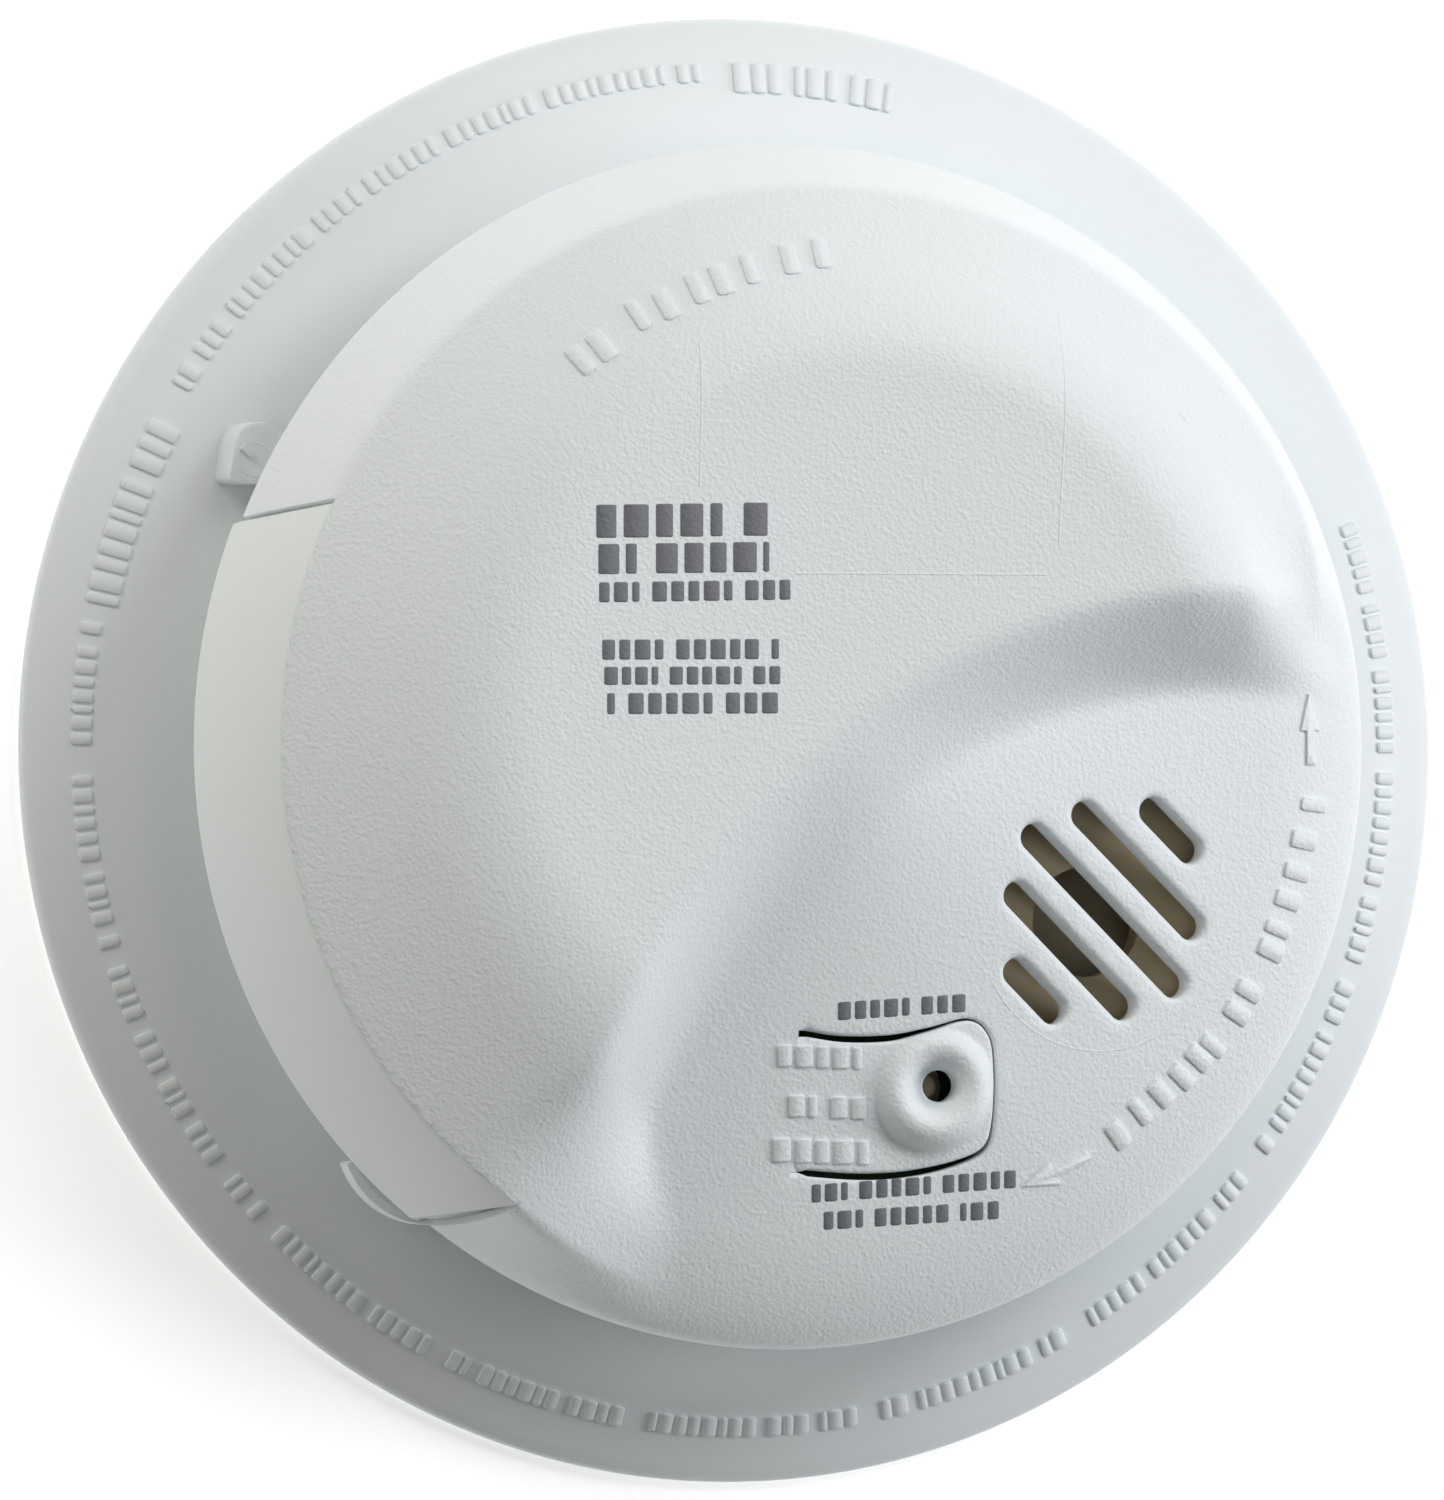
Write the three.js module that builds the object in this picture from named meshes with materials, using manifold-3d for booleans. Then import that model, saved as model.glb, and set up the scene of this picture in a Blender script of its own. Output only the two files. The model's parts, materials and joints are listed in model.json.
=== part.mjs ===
// Ceiling and wall carbon monoxide alarm: a round white housing that twists onto a mounting bracket,
// with a side drawer for a 9 V battery, a test button that bends down, and the electronics inside.
// Millimetres, +Z up. The origin is the centre of the bracket's back face, and +Z points out of the front.

import * as THREE from 'three';
import Module from 'manifold-3d';
import { mergeVertices } from 'three/addons/utils/BufferGeometryUtils.js';

const manifold = await Module();
manifold.setup();

// Driving dimensions ---------------------------------------------------------------------------

const GAP = 0.3; // between parts that rest on, or run in, each other
const TURN_STEPS = 60; // facets round the large turned parts
const SMALL_STEPS = 14; // facets round posts, pins and components

const FLANGE_RADIUS = 71;
const NECK_RADIUS = 54;
const NECK_WALL = 1.8;
const NECK_TOP = 21.6;
const FLOOR_BOTTOM = 6.2;
const FLOOR_TOP = 8.2;

const COVER_TOP = 43;
const COVER_WALL = 2.2;
const RIM_RADIUS = 58.3;
const RIM_HEIGHT = 21.2;
const RIM_UNDERSIDE = 20.6;
const SHOULDER_RADIUS = 54.2; // where the crown meets the leaning wall
const SHOULDER_HEIGHT = 33.8;
const CROWN_FLAT_RADIUS = 33.3; // mean radius of the flat top
const CROWN_FLAT_SHIFT = 4.2; // how much further the flat top reaches at 45 degrees
const CROWN_CONE_RADIUS = 44; // mean radius at which the crown's curve becomes a straight slope
const CROWN_CONE_SHIFT = 2.2;
const WALL_SLOPE = (SHOULDER_HEIGHT - RIM_HEIGHT) / (RIM_RADIUS - SHOULDER_RADIUS);
const SHOULDER_BLEND = 1.5;

const SCOOP_CENTRE = [41.5, -54.9]; // the step between the flat top and the scoop runs round this point
const SCOOP_RADIUS = 65.2;
const SCOOP_HEIGHT = 40;
const SCOOP_SLOPE = 0.26;
const SCOOP_ROLL_RADIUS = 47;
const STEP_HALF_WIDTH = 5.5;

const BOARD_BOTTOM = 13;
const BOARD_TOP = 14.6;
const BOARD_RADIUS = 49.5;
const PART_FOOT = BOARD_TOP + GAP;

const DRAWER_TURN = THREE.MathUtils.degToRad(105); // direction of the drawer's long axis
const HINGE = [-35, -37.4];
const HINGE_RADIUS = 8.6; // rounded end of the drawer about its hinge
const DRAWER_REACH = 61.9; // far end of the drawer's face, from the hinge
const TRAY_REACH = 55.6;
const DRAWER_BOTTOM = 8.7;
const TRAY_TOP = 10;
const TRAY_SIDE = 17.9; // inner side wall, from the alarm's axis
const FACE_PROUD = 0.8;
const OPENING_INSIDE = 47.5; // the cover's side opening is cut no further in than this

const HORN_CENTRE = [29.5, -16.9];
const HORN_RADIUS = 15;
const HORN_TOP = 24.5;
const HORN_MOUTH_RADIUS = 5.35;
const SLOT_CENTRE = [30, -16.5];
const SLOT_TURN = THREE.MathUtils.degToRad(-42.7);
const SLOT_PITCH = 5.25;
const SLOT_WIDTH = 2.7;
const SLOT_LENGTHS = [5.5, 15.9, 21, 15.9, 5.5]; // between the centres of the round ends

const BUTTON_HINGE_X = -1.2;
const BUTTON_SLIT = 0.65;
const PAD_CENTRE = [12.7, -32.9];
const PAD_RADIUS = 6.1;
const PAD_RISE = 2;
const LAMP_HOLE_RADIUS = 1.5;
const POST_CENTRE = [4.5, -34.8];
const PLUNGER_TOP = 19.6;

const SCREW_PLACES = [[44, 80], [44.5, 42], [45, -56], [44, -100]]; // radius and angle in degrees

// Materials ------------------------------------------------------------------------------------

function plastic(color, roughness) {
  return new THREE.MeshStandardMaterial({ color, roughness, metalness: 0 });
}

function metal(color, roughness) {
  return new THREE.MeshStandardMaterial({ color, roughness, metalness: 1 });
}

const WHITE = plastic(0xe6e8e7, 0.6);
const TAN = plastic(0x9c8a6c, 0.6);
const BOARD_GREEN = plastic(0x2f6b3f, 0.5);
const BLACK = plastic(0x1b1b1d, 0.45);
const YELLOW = plastic(0xc9a227, 0.5);
const BLUE = plastic(0x2b4f8c, 0.45);
const CLEAR = plastic(0xdfe8ea, 0.15);
const RED = plastic(0xb3201c, 0.25);
const FOAM = plastic(0x3a3a3c, 0.95);
const CERAMIC = plastic(0xd8d4c8, 0.4);
const STEEL = metal(0xc2c4c6, 0.35);
const BRASS = metal(0xc8a552, 0.35);
const TIN = metal(0xd0d2d4, 0.3);

// Solids ---------------------------------------------------------------------------------------

function solidOf(geometry) {
  geometry.deleteAttribute('normal');
  geometry.deleteAttribute('uv');
  const merged = mergeVertices(geometry, 1e-4);
  const vertProperties = new Float32Array(merged.attributes.position.array);
  const triVerts = new Uint32Array(merged.index.array);
  if (signedVolume(vertProperties, triVerts) < 0) triVerts.reverse();
  return new manifold.Manifold(new manifold.Mesh({ numProp: 3, vertProperties, triVerts }));
}

function signedVolume(points, triangles) {
  const corner = (i) => new THREE.Vector3(points[3 * i], points[3 * i + 1], points[3 * i + 2]);
  let sum = 0;
  for (let t = 0; t < triangles.length; t += 3) {
    const a = corner(triangles[t]);
    const b = corner(triangles[t + 1]);
    const c = corner(triangles[t + 2]);
    sum += a.dot(b.cross(c)) / 6;
  }
  return sum;
}

function geometryOf(solid) {
  const mesh = solid.getMesh();
  const geometry = new THREE.BufferGeometry();
  geometry.setAttribute('position', new THREE.BufferAttribute(Float32Array.from(mesh.vertProperties), 3));
  geometry.setIndex(new THREE.BufferAttribute(Uint32Array.from(mesh.triVerts), 1));
  return geometry;
}

// A solid turned about Z from a closed outline of [radius, height] points.
function turned(outline, steps = TURN_STEPS) {
  const points = outline.map(([r, z]) => new THREE.Vector2(r, z));
  points.push(points[0].clone());
  return solidOf(new THREE.LatheGeometry(points, steps).rotateX(Math.PI / 2));
}

function cylinder(radius, z0, z1, [x, y] = [0, 0], steps = SMALL_STEPS) {
  const geometry = new THREE.CylinderGeometry(radius, radius, z1 - z0, steps);
  return solidOf(geometry.rotateX(Math.PI / 2).translate(x, y, (z0 + z1) / 2));
}

function tube(inner, outer, z0, z1, centre = [0, 0], steps = SMALL_STEPS) {
  return cylinder(outer, z0, z1, centre, steps).subtract(cylinder(inner, z0 - 1, z1 + 1, centre, steps));
}

function block(x0, x1, y0, y1, z0, z1) {
  const geometry = new THREE.BoxGeometry(x1 - x0, y1 - y0, z1 - z0);
  return solidOf(geometry.translate((x0 + x1) / 2, (y0 + y1) / 2, (z0 + z1) / 2));
}

function prism(shape, z0, z1, curveSegments = 8) {
  const geometry = new THREE.ExtrudeGeometry(shape, { depth: z1 - z0, bevelEnabled: false, curveSegments });
  return solidOf(geometry.translate(0, 0, z0));
}

function outlineShape(points) {
  return new THREE.Shape(points.map(([x, y]) => new THREE.Vector2(x, y)));
}

// A slot with round ends, length being between the centres of the ends.
function roundSlot(length, width, z0, z1, [x, y], turn, steps = 6) {
  const shape = new THREE.Shape();
  shape.absarc(length / 2, 0, width / 2, -Math.PI / 2, Math.PI / 2);
  shape.absarc(-length / 2, 0, width / 2, Math.PI / 2, 1.5 * Math.PI);
  return prism(shape, z0, z1, steps).rotate([0, 0, THREE.MathUtils.radToDeg(turn)]).translate([x, y, 0]);
}

// A block that spans part of a ring, from one angle to another, in degrees.
function arcBlock(inner, outer, from, to, z0, z1) {
  const shape = new THREE.Shape();
  shape.absarc(0, 0, outer, THREE.MathUtils.degToRad(from), THREE.MathUtils.degToRad(to), false);
  shape.absarc(0, 0, inner, THREE.MathUtils.degToRad(to), THREE.MathUtils.degToRad(from), true);
  return prism(shape, z0, z1, 4);
}

function polar(radius, degrees) {
  const angle = THREE.MathUtils.degToRad(degrees);
  return [radius * Math.cos(angle), radius * Math.sin(angle)];
}

// Turns a solid made in the drawer's own axes, u along it and v outwards, into the alarm's.
function fromDrawerAxes(solid) {
  return solid.rotate([0, 0, THREE.MathUtils.radToDeg(DRAWER_TURN)]);
}

function toDrawerAxes([x, y]) {
  const c = Math.cos(DRAWER_TURN);
  const s = Math.sin(DRAWER_TURN);
  return [c * x + s * y, c * y - s * x];
}

const HINGE_UV = toDrawerAxes(HINGE);

// The cover's outer surface --------------------------------------------------------------------

function smoothMin(a, b, width) {
  const h = Math.min(1, Math.max(0, 0.5 + (0.5 * (b - a)) / width));
  return b + (a - b) * h - width * h * (1 - h);
}

function smoothStep(from, to, value) {
  const t = Math.min(1, Math.max(0, (value - from) / (to - from)));
  return t * t * (3 - 2 * t);
}

function crownHeight(x, y) {
  const r = Math.hypot(x, y);
  const towards = Math.cos(Math.atan2(y, x) - Math.PI / 4);
  const flat = CROWN_FLAT_RADIUS + CROWN_FLAT_SHIFT * towards;
  const cone = CROWN_CONE_RADIUS + CROWN_CONE_SHIFT * towards;
  const slope = (COVER_TOP - SHOULDER_HEIGHT) / (SHOULDER_RADIUS - (flat + cone) / 2);
  const curved = Math.min(cone - flat, Math.max(0, r - flat));
  const fall = (curved * curved) / (2 * (cone - flat)) + Math.max(0, r - cone);
  const crown = COVER_TOP - slope * fall;
  const wall = RIM_HEIGHT + (RIM_RADIUS - r) * WALL_SLOPE;
  return smoothMin(crown, wall, SHOULDER_BLEND);
}

function scoopHeight(x, y) {
  const r = Math.hypot(x, y);
  const cone = SCOOP_HEIGHT - SCOOP_SLOPE * r;
  const t = Math.min(1, Math.max(0, r - SCOOP_ROLL_RADIUS) / (RIM_RADIUS - SCOOP_ROLL_RADIUS));
  const drop = SCOOP_HEIGHT - SCOOP_SLOPE * RIM_RADIUS - RIM_HEIGHT;
  return cone - drop * (1 - Math.sqrt(Math.max(0, 1 - t * t)));
}

function coverHeight(x, y) {
  const inside = SCOOP_RADIUS - Math.hypot(x - SCOOP_CENTRE[0], y - SCOOP_CENTRE[1]);
  const scoop = smoothStep(-STEP_HALF_WIDTH, STEP_HALF_WIDTH, inside);
  return crownHeight(x, y) * (1 - scoop) + scoopHeight(x, y) * scoop;
}

function coverNormal(x, y) {
  const d = 0.05;
  const limit = RIM_RADIUS - 2 * d;
  const k = Math.min(1, limit / Math.max(1e-6, Math.hypot(x, y)));
  const sx = coverHeight(x * k + d, y * k) - coverHeight(x * k - d, y * k);
  const sy = coverHeight(x * k, y * k + d) - coverHeight(x * k, y * k - d);
  return new THREE.Vector3(-sx / (2 * d), -sy / (2 * d), 1).normalize();
}

// The cover as a shell of even wall: rings of points on its outer face, then the same rings set in.
function coverShell() {
  const radii = [12, 24, 31, 36, 40, 44, 48.5, 52.3, 54.2, 55.4, 57.4, RIM_RADIUS];
  const outer = radii.map((r) => ringOfPoints((x, y) => new THREE.Vector3(x, y, coverHeight(x, y)), r));
  const inner = radii.slice(0, -2).map((r) => ringOfPoints(innerPoint, r));
  const lip = [RIM_RADIUS - 0.2, RIM_RADIUS - COVER_WALL];
  const lips = lip.map((r) => ringOfPoints((x, y) => new THREE.Vector3(x, y, RIM_UNDERSIDE), r));
  const top = new THREE.Vector3(0, 0, coverHeight(0, 0));
  const under = innerPoint(0, 0);
  return solidOf(stitchedRings([top], [...outer, ...lips, ...inner.reverse()], [under]));
}

function innerPoint(x, y) {
  const normal = coverNormal(x, y);
  const point = new THREE.Vector3(x, y, coverHeight(x, y)).addScaledVector(normal, -COVER_WALL);
  point.z = Math.max(point.z, RIM_UNDERSIDE + 0.1);
  return point;
}

function ringOfPoints(place, radius) {
  const points = [];
  for (let i = 0; i < TURN_STEPS; i += 1) {
    const angle = (2 * Math.PI * i) / TURN_STEPS;
    points.push(place(radius * Math.cos(angle), radius * Math.sin(angle)));
  }
  return points;
}

function stitchedRings([first], rings, [last]) {
  const points = [first, ...rings.flat(), last];
  const index = [];
  const at = (ring, i) => 1 + ring * TURN_STEPS + (i % TURN_STEPS);
  for (let i = 0; i < TURN_STEPS; i += 1) {
    index.push(0, at(0, i), at(0, i + 1));
    index.push(points.length - 1, at(rings.length - 1, i + 1), at(rings.length - 1, i));
    for (let ring = 0; ring + 1 < rings.length; ring += 1) {
      index.push(at(ring, i), at(ring + 1, i), at(ring + 1, i + 1));
      index.push(at(ring, i), at(ring + 1, i + 1), at(ring, i + 1));
    }
  }
  const geometry = new THREE.BufferGeometry().setFromPoints(points);
  geometry.setIndex(index);
  return geometry;
}

// The drawer's space ---------------------------------------------------------------------------

// Everything the drawer may fill, in plan: inside its reach, and past or round its hinge.
function drawerZone(reach, hingeRadius, side, z0, z1) {
  const [hu, hv] = HINGE_UV;
  const far = fromDrawerAxes(cylinder(reach, z0, z1, HINGE_UV, TURN_STEPS));
  const ahead = fromDrawerAxes(block(hu, hu + 80, side, hv + 40, z0, z1));
  const round = cylinder(hingeRadius, z0, z1, HINGE, 28);
  return far.intersect(ahead.add(round));
}

// The drawer's curved face, which follows the cover's leaning wall and stands a little proud of it.
function drawerFace() {
  const faceRadius = (z) => RIM_RADIUS - (z - RIM_HEIGHT) / WALL_SLOPE + FACE_PROUD;
  const low = RIM_UNDERSIDE - 0.2;
  const top = SHOULDER_HEIGHT;
  return turned([
    [faceRadius(RIM_HEIGHT) - 0.5, low],
    [faceRadius(RIM_HEIGHT), low + 0.5],
    [faceRadius(RIM_HEIGHT), RIM_HEIGHT],
    [faceRadius(top - 0.6), top - 0.6],
    [faceRadius(top) - 0.5, top],
    [faceRadius(top) - 2.2, top],
    [faceRadius(low + 1.6) - 2, low + 1.6],
    [NECK_RADIUS - NECK_WALL + 0.5, low + 1.6],
    [NECK_RADIUS - NECK_WALL + 0.5, low],
  ]);
}

// The test button's outline --------------------------------------------------------------------

// The middle line of the slit round the button, from its upper left end round to its lower left end.
const SLIT_LINE = new THREE.SplineCurve([
  [-0.7, -27.9], [3, -28.4], [7.7, -28.3], [11.5, -27.5], [15.8, -26.5], [18.1, -27.9], [18.9, -31],
  [19.1, -36], [18.4, -39.1], [15.2, -40.7], [10.2, -41.8], [5.3, -42.1], [-0.1, -41.7],
].map(([x, y]) => new THREE.Vector2(x, y)));

function slitSide(offset) {
  const points = SLIT_LINE.getPoints(20);
  return points.map((point, i) => {
    const ahead = points[Math.min(i + 1, points.length - 1)];
    const behind = points[Math.max(i - 1, 0)];
    const along = ahead.clone().sub(behind).normalize();
    return [point.x - along.y * offset, point.y + along.x * offset];
  });
}

function buttonPrism(offset, left, z0, z1) {
  const side = slitSide(offset);
  const first = [left, side[0][1]];
  const last = [left, side[side.length - 1][1]];
  return prism(outlineShape([first, ...side, last]), z0, z1);
}

// Bracket --------------------------------------------------------------------------------------

const HOOK_ANGLES = [10, 130, 250];
const HOOK_TRAVEL = 15; // degrees between locked and free

function mountingBracket() {
  let bracket = turned([
    [22, 0], [39.4, 0], [39.4, 3.5], [48.4, 3.5], [48.4, 0],
    [50, 0], [50, 5.5], [37.4, 5.5], [37.4, 2], [22, 2],
  ], 48);
  for (const angle of HOOK_ANGLES) {
    const track = arcBlock(42.4, 46.1, angle - 4, angle + HOOK_TRAVEL + 4, 2.5, 6.5);
    const entry = arcBlock(40.8, 47.9, angle + HOOK_TRAVEL - 4, angle + HOOK_TRAVEL + 4.2, 2.5, 6.5);
    bracket = bracket.subtract(track).subtract(entry);
  }
  for (const angle of [0, 180]) {
    const slot = arcBlock(32.7, 37, angle - 8, angle + 8, -1, 3);
    bracket = bracket.subtract(slot);
  }
  return bracket;
}

// Alarm housing --------------------------------------------------------------------------------

function baseProfile() {
  const inside = NECK_RADIUS - NECK_WALL;
  return [
    [0, FLOOR_BOTTOM], [inside, FLOOR_BOTTOM], [inside, 4.3], [57, 4.3], [65, 2.6], [69.4, 0.3],
    [FLANGE_RADIUS, 0.3], [FLANGE_RADIUS, 1.6], [70, 2.5], [66.7, 3.9], [63.5, 5.1], [60, 6],
    [NECK_RADIUS, 6.5], [NECK_RADIUS, NECK_TOP], [inside, NECK_TOP], [inside, FLOOR_TOP], [0, FLOOR_TOP],
  ];
}

function baseHook(angle) {
  const stem = arcBlock(43, 45.5, angle - 3, angle + 3, 0.8, 7);
  const toe = arcBlock(41.4, 47.3, angle - 2.6, angle + 2.6, 0.8, 3.1);
  return stem.add(toe);
}

// The small stop beside the drawer's free end, standing on the flange against the neck.
function flangeBoss() {
  const side = outlineShape([[52.6, 5], [62, 5], [61.8, 6.6], [60.6, 11], [59.8, 11.6], [52.6, 11.6]]);
  const bar = new THREE.ExtrudeGeometry(side, { depth: 7.2, bevelEnabled: false });
  const raised = solidOf(bar.rotateX(Math.PI / 2).translate(0, 3.6, 0));
  const rounding = cylinder(4.7, 0, 14, [57.3, 0.6], 24).add(block(50, 57, -3.6, 3.6, 0, 14));
  const whole = rounding.add(block(50, 62, -3.6, 0, 0, 14));
  return raised.intersect(whole).rotate([0, 0, 150.3]);
}

// Half ring that guards the drawer's rounded end below the cover's rim.
function hingeGuard() {
  const ring = tube(8.2, 9.4, 6, 19.9, HINGE, 28);
  const [hu, hv] = HINGE_UV;
  const behind = fromDrawerAxes(block(hu - 20, hu - 1.2, hv - 3, hv + 20, 5, 21));
  return ring.intersect(behind);
}

function baseHousing() {
  let base = turned(baseProfile()).add(flangeBoss());
  base = base.subtract(drawerZone(DRAWER_REACH + 0.4, HINGE_RADIUS + 0.4, 20, FLOOR_TOP, 30));
  base = base.add(hingeGuard());
  for (const angle of HOOK_ANGLES) base = base.add(baseHook(angle));
  for (const place of SCREW_PLACES) {
    const centre = polar(...place);
    base = base.add(cylinder(4, FLOOR_TOP - 1, BOARD_BOTTOM - GAP, centre));
    base = base.subtract(cylinder(1.6, 5, 14, centre));
    base = base.subtract(cylinder(3.3, 5, 8.6, centre));
  }
  base = base.subtract(cylinder(1.5, 5, 10, HINGE));
  return base.subtract(block(-12.4, 12.4, -10.9, 2.9, 5, 10));
}

function frontCover() {
  let cover = coverShell();
  const slotRow = SLOT_LENGTHS.map((length, i) => {
    const across = (i - 2) * SLOT_PITCH;
    const centre = [
      SLOT_CENTRE[0] - Math.sin(SLOT_TURN) * across,
      SLOT_CENTRE[1] + Math.cos(SLOT_TURN) * across,
    ];
    return roundSlot(length, SLOT_WIDTH, 15, 45, centre, SLOT_TURN);
  });
  for (const slot of slotRow) cover = cover.subtract(slot);
  cover = cover.subtract(buttonPrism(BUTTON_SLIT / 2, BUTTON_HINGE_X, 15, 45));
  const opening = drawerZone(DRAWER_REACH + 0.4, HINGE_RADIUS + 0.4, 20, 10, SHOULDER_HEIGHT + GAP);
  cover = cover.subtract(opening.intersect(tube(OPENING_INSIDE, 80, 10, 40, [0, 0], TURN_STEPS)));
  for (const place of SCREW_PLACES) {
    const [x, y] = polar(...place);
    const boss = cylinder(3, BOARD_TOP + GAP, coverHeight(x, y) - 1.9, [x, y]);
    cover = cover.add(boss).subtract(cylinder(1.55, 10, 24, [x, y]));
  }
  return cover;
}

function caseScrew(place) {
  const centre = polar(...place);
  const shank = cylinder(1.25, 8, 23, centre, 12);
  const head = cylinder(2.9, 6.5, 8.3, centre, 16);
  const recess = block(-0.4, 0.4, -2, 2, 6, 7.4).add(block(-2, 2, -0.4, 0.4, 6, 7.4));
  return shank.add(head).subtract(recess.translate([centre[0], centre[1], 0]));
}

// Drawer and battery ---------------------------------------------------------------------------

const BATTERY_LOW = TRAY_TOP + GAP;
const BATTERY = { from: -23.3, to: 23, in: 19.7, out: 46.2, low: BATTERY_LOW, high: BATTERY_LOW + 17.5 };
const BATTERY_MIDDLE = [(BATTERY.in + BATTERY.out) / 2, (BATTERY.low + BATTERY.high) / 2];
const TERMINAL_SPREAD = 6.35;

function batteryDrawer() {
  const inside = NECK_RADIUS - NECK_WALL + 0.2;
  const face = drawerFace().intersect(drawerZone(DRAWER_REACH, HINGE_RADIUS, 20, 5, 40));
  const skirt = tube(inside, NECK_RADIUS, DRAWER_BOTTOM, RIM_UNDERSIDE + 0.6, [0, 0], TURN_STEPS);
  const lower = skirt.intersect(drawerZone(DRAWER_REACH - 0.4, HINGE_RADIUS - 0.8, 20, 5, 40));
  const disc = cylinder(NECK_RADIUS - 0.5, DRAWER_BOTTOM, TRAY_TOP, [0, 0], TURN_STEPS);
  const floor = disc.intersect(drawerZone(TRAY_REACH, HINGE_RADIUS - 1.2, TRAY_SIDE, 5, 15));
  const wall = block(-23.6, 21.4, TRAY_SIDE + 0.2, TRAY_SIDE + 1.4, DRAWER_BOTTOM + 0.3, 20);
  const side = fromDrawerAxes(wall);
  const barrel = cylinder(3, DRAWER_BOTTOM, 27.1, HINGE);
  const whole = face.add(lower).add(floor).add(side).add(barrel);
  return whole.subtract(cylinder(1.5, 5, 40, HINGE));
}

function hingePin() {
  return cylinder(1.2, 6.4, 28, HINGE, 16).add(cylinder(2.4, 27.4, 28.9, HINGE, 16));
}

function batteryCase() {
  const width = BATTERY.out - BATTERY.in;
  const height = BATTERY.high - BATTERY.low;
  const section = roundedRectangle(width, height, 2);
  const depth = BATTERY.to - BATTERY.from;
  const bar = new THREE.ExtrudeGeometry(section, { depth, bevelEnabled: false, curveSegments: 4 });
  bar.rotateZ(Math.PI / 2).rotateY(Math.PI / 2).translate(BATTERY.from, ...BATTERY_MIDDLE);
  return fromDrawerAxes(solidOf(bar));
}

function roundedRectangle(width, height, radius) {
  const w = width / 2 - radius;
  const h = height / 2 - radius;
  const shape = new THREE.Shape();
  shape.absarc(w, h, radius, 0, Math.PI / 2);
  shape.absarc(-w, h, radius, Math.PI / 2, Math.PI);
  shape.absarc(-w, -h, radius, Math.PI, 1.5 * Math.PI);
  shape.absarc(w, -h, radius, 1.5 * Math.PI, 2 * Math.PI);
  return shape;
}

function batteryTerminal(radius, side, facets) {
  const stud = new THREE.CylinderGeometry(radius, radius, 2.1, facets);
  stud.rotateZ(Math.PI / 2).translate(BATTERY.to + GAP + 1.05, BATTERY_MIDDLE[0] + side, BATTERY_MIDDLE[1]);
  const cup = new THREE.CylinderGeometry(radius * 0.55, radius * 0.55, 2, facets);
  cup.rotateZ(Math.PI / 2).translate(BATTERY.to + GAP + 2.1, BATTERY_MIDDLE[0] + side, BATTERY_MIDDLE[1]);
  return fromDrawerAxes(solidOf(stud).subtract(solidOf(cup)));
}

// A flat contact strip against the holder, pressed by the battery's terminal.
function flatContact(side) {
  return fromDrawerAxes(block(29.95, 30.3, side - 2.5, side + 2.5, 11, 25));
}

// A contact strip folded into a loop that bows out towards the battery's terminal.
function bowedContact(side) {
  const outline = outlineShape([
    [29.9, 11], [30.3, 11], [30.3, 25], [29.9, 25.4], [28.3, 21.5], [28.3, 16], [29.9, 13],
  ]);
  const loop = [[29.9, 13.9], [28.65, 16.4], [28.65, 21.1], [29.9, 24.4]];
  outline.holes.push(new THREE.Path(loop.map(([u, z]) => new THREE.Vector2(u, z))));
  const strip = new THREE.ExtrudeGeometry(outline, { depth: 5, bevelEnabled: false });
  return fromDrawerAxes(solidOf(strip.rotateX(Math.PI / 2).translate(0, side + 2.5, 0)));
}

function contactHolder() {
  return fromDrawerAxes(block(30.6, 32.2, 22, 40.4, FLOOR_TOP + GAP, 24));
}

// Test button ----------------------------------------------------------------------------------

function testButton() {
  const flap = coverShell().intersect(buttonPrism(-BUTTON_SLIT / 2, BUTTON_HINGE_X + GAP, 15, 45));
  const top = coverHeight(...PAD_CENTRE);
  const pad = turned([
    [0, top - 3], [PAD_RADIUS - 0.3, top - 3], [PAD_RADIUS, top - 0.6], [PAD_RADIUS - 0.6, top + 0.9],
    [PAD_RADIUS - 1.8, top + PAD_RISE - 0.2], [PAD_RADIUS - 2.8, top + PAD_RISE - 0.1], [2.2, top + 0.9],
    [LAMP_HOLE_RADIUS + 0.3, top - 0.6], [0, top - 0.6],
  ], 24).translate([PAD_CENTRE[0], PAD_CENTRE[1], 0]);
  const room = buttonPrism(-BUTTON_SLIT / 2, BUTTON_HINGE_X + GAP, 15, 45);
  const post = cylinder(1.6, PLUNGER_TOP + GAP, coverHeight(...POST_CENTRE) - 1, POST_CENTRE);
  const whole = flap.add(pad.intersect(room)).add(post);
  return whole.subtract(cylinder(LAMP_HOLE_RADIUS, 10, 50, PAD_CENTRE, 24));
}

function switchPlunger() {
  return cylinder(1.75, 17, PLUNGER_TOP, POST_CENTRE);
}

function switchBody() {
  const [x, y] = POST_CENTRE;
  return block(x - 3, x + 3, y - 3, y + 3, PART_FOOT, 18.4).subtract(cylinder(2.05, 16.4, 20, POST_CENTRE));
}

// Electronics ----------------------------------------------------------------------------------

function circuitBoard() {
  let board = cylinder(BOARD_RADIUS, BOARD_BOTTOM, BOARD_TOP, [0, 0], TURN_STEPS);
  board = board.subtract(fromDrawerAxes(block(-28, 80, TRAY_SIDE - 0.7, 80, 10, 20)));
  board = board.subtract(cylinder(10.5, 10, 20, HINGE, 24));
  for (const place of SCREW_PLACES) board = board.subtract(cylinder(1.6, 10, 20, polar(...place)));
  return board;
}

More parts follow.
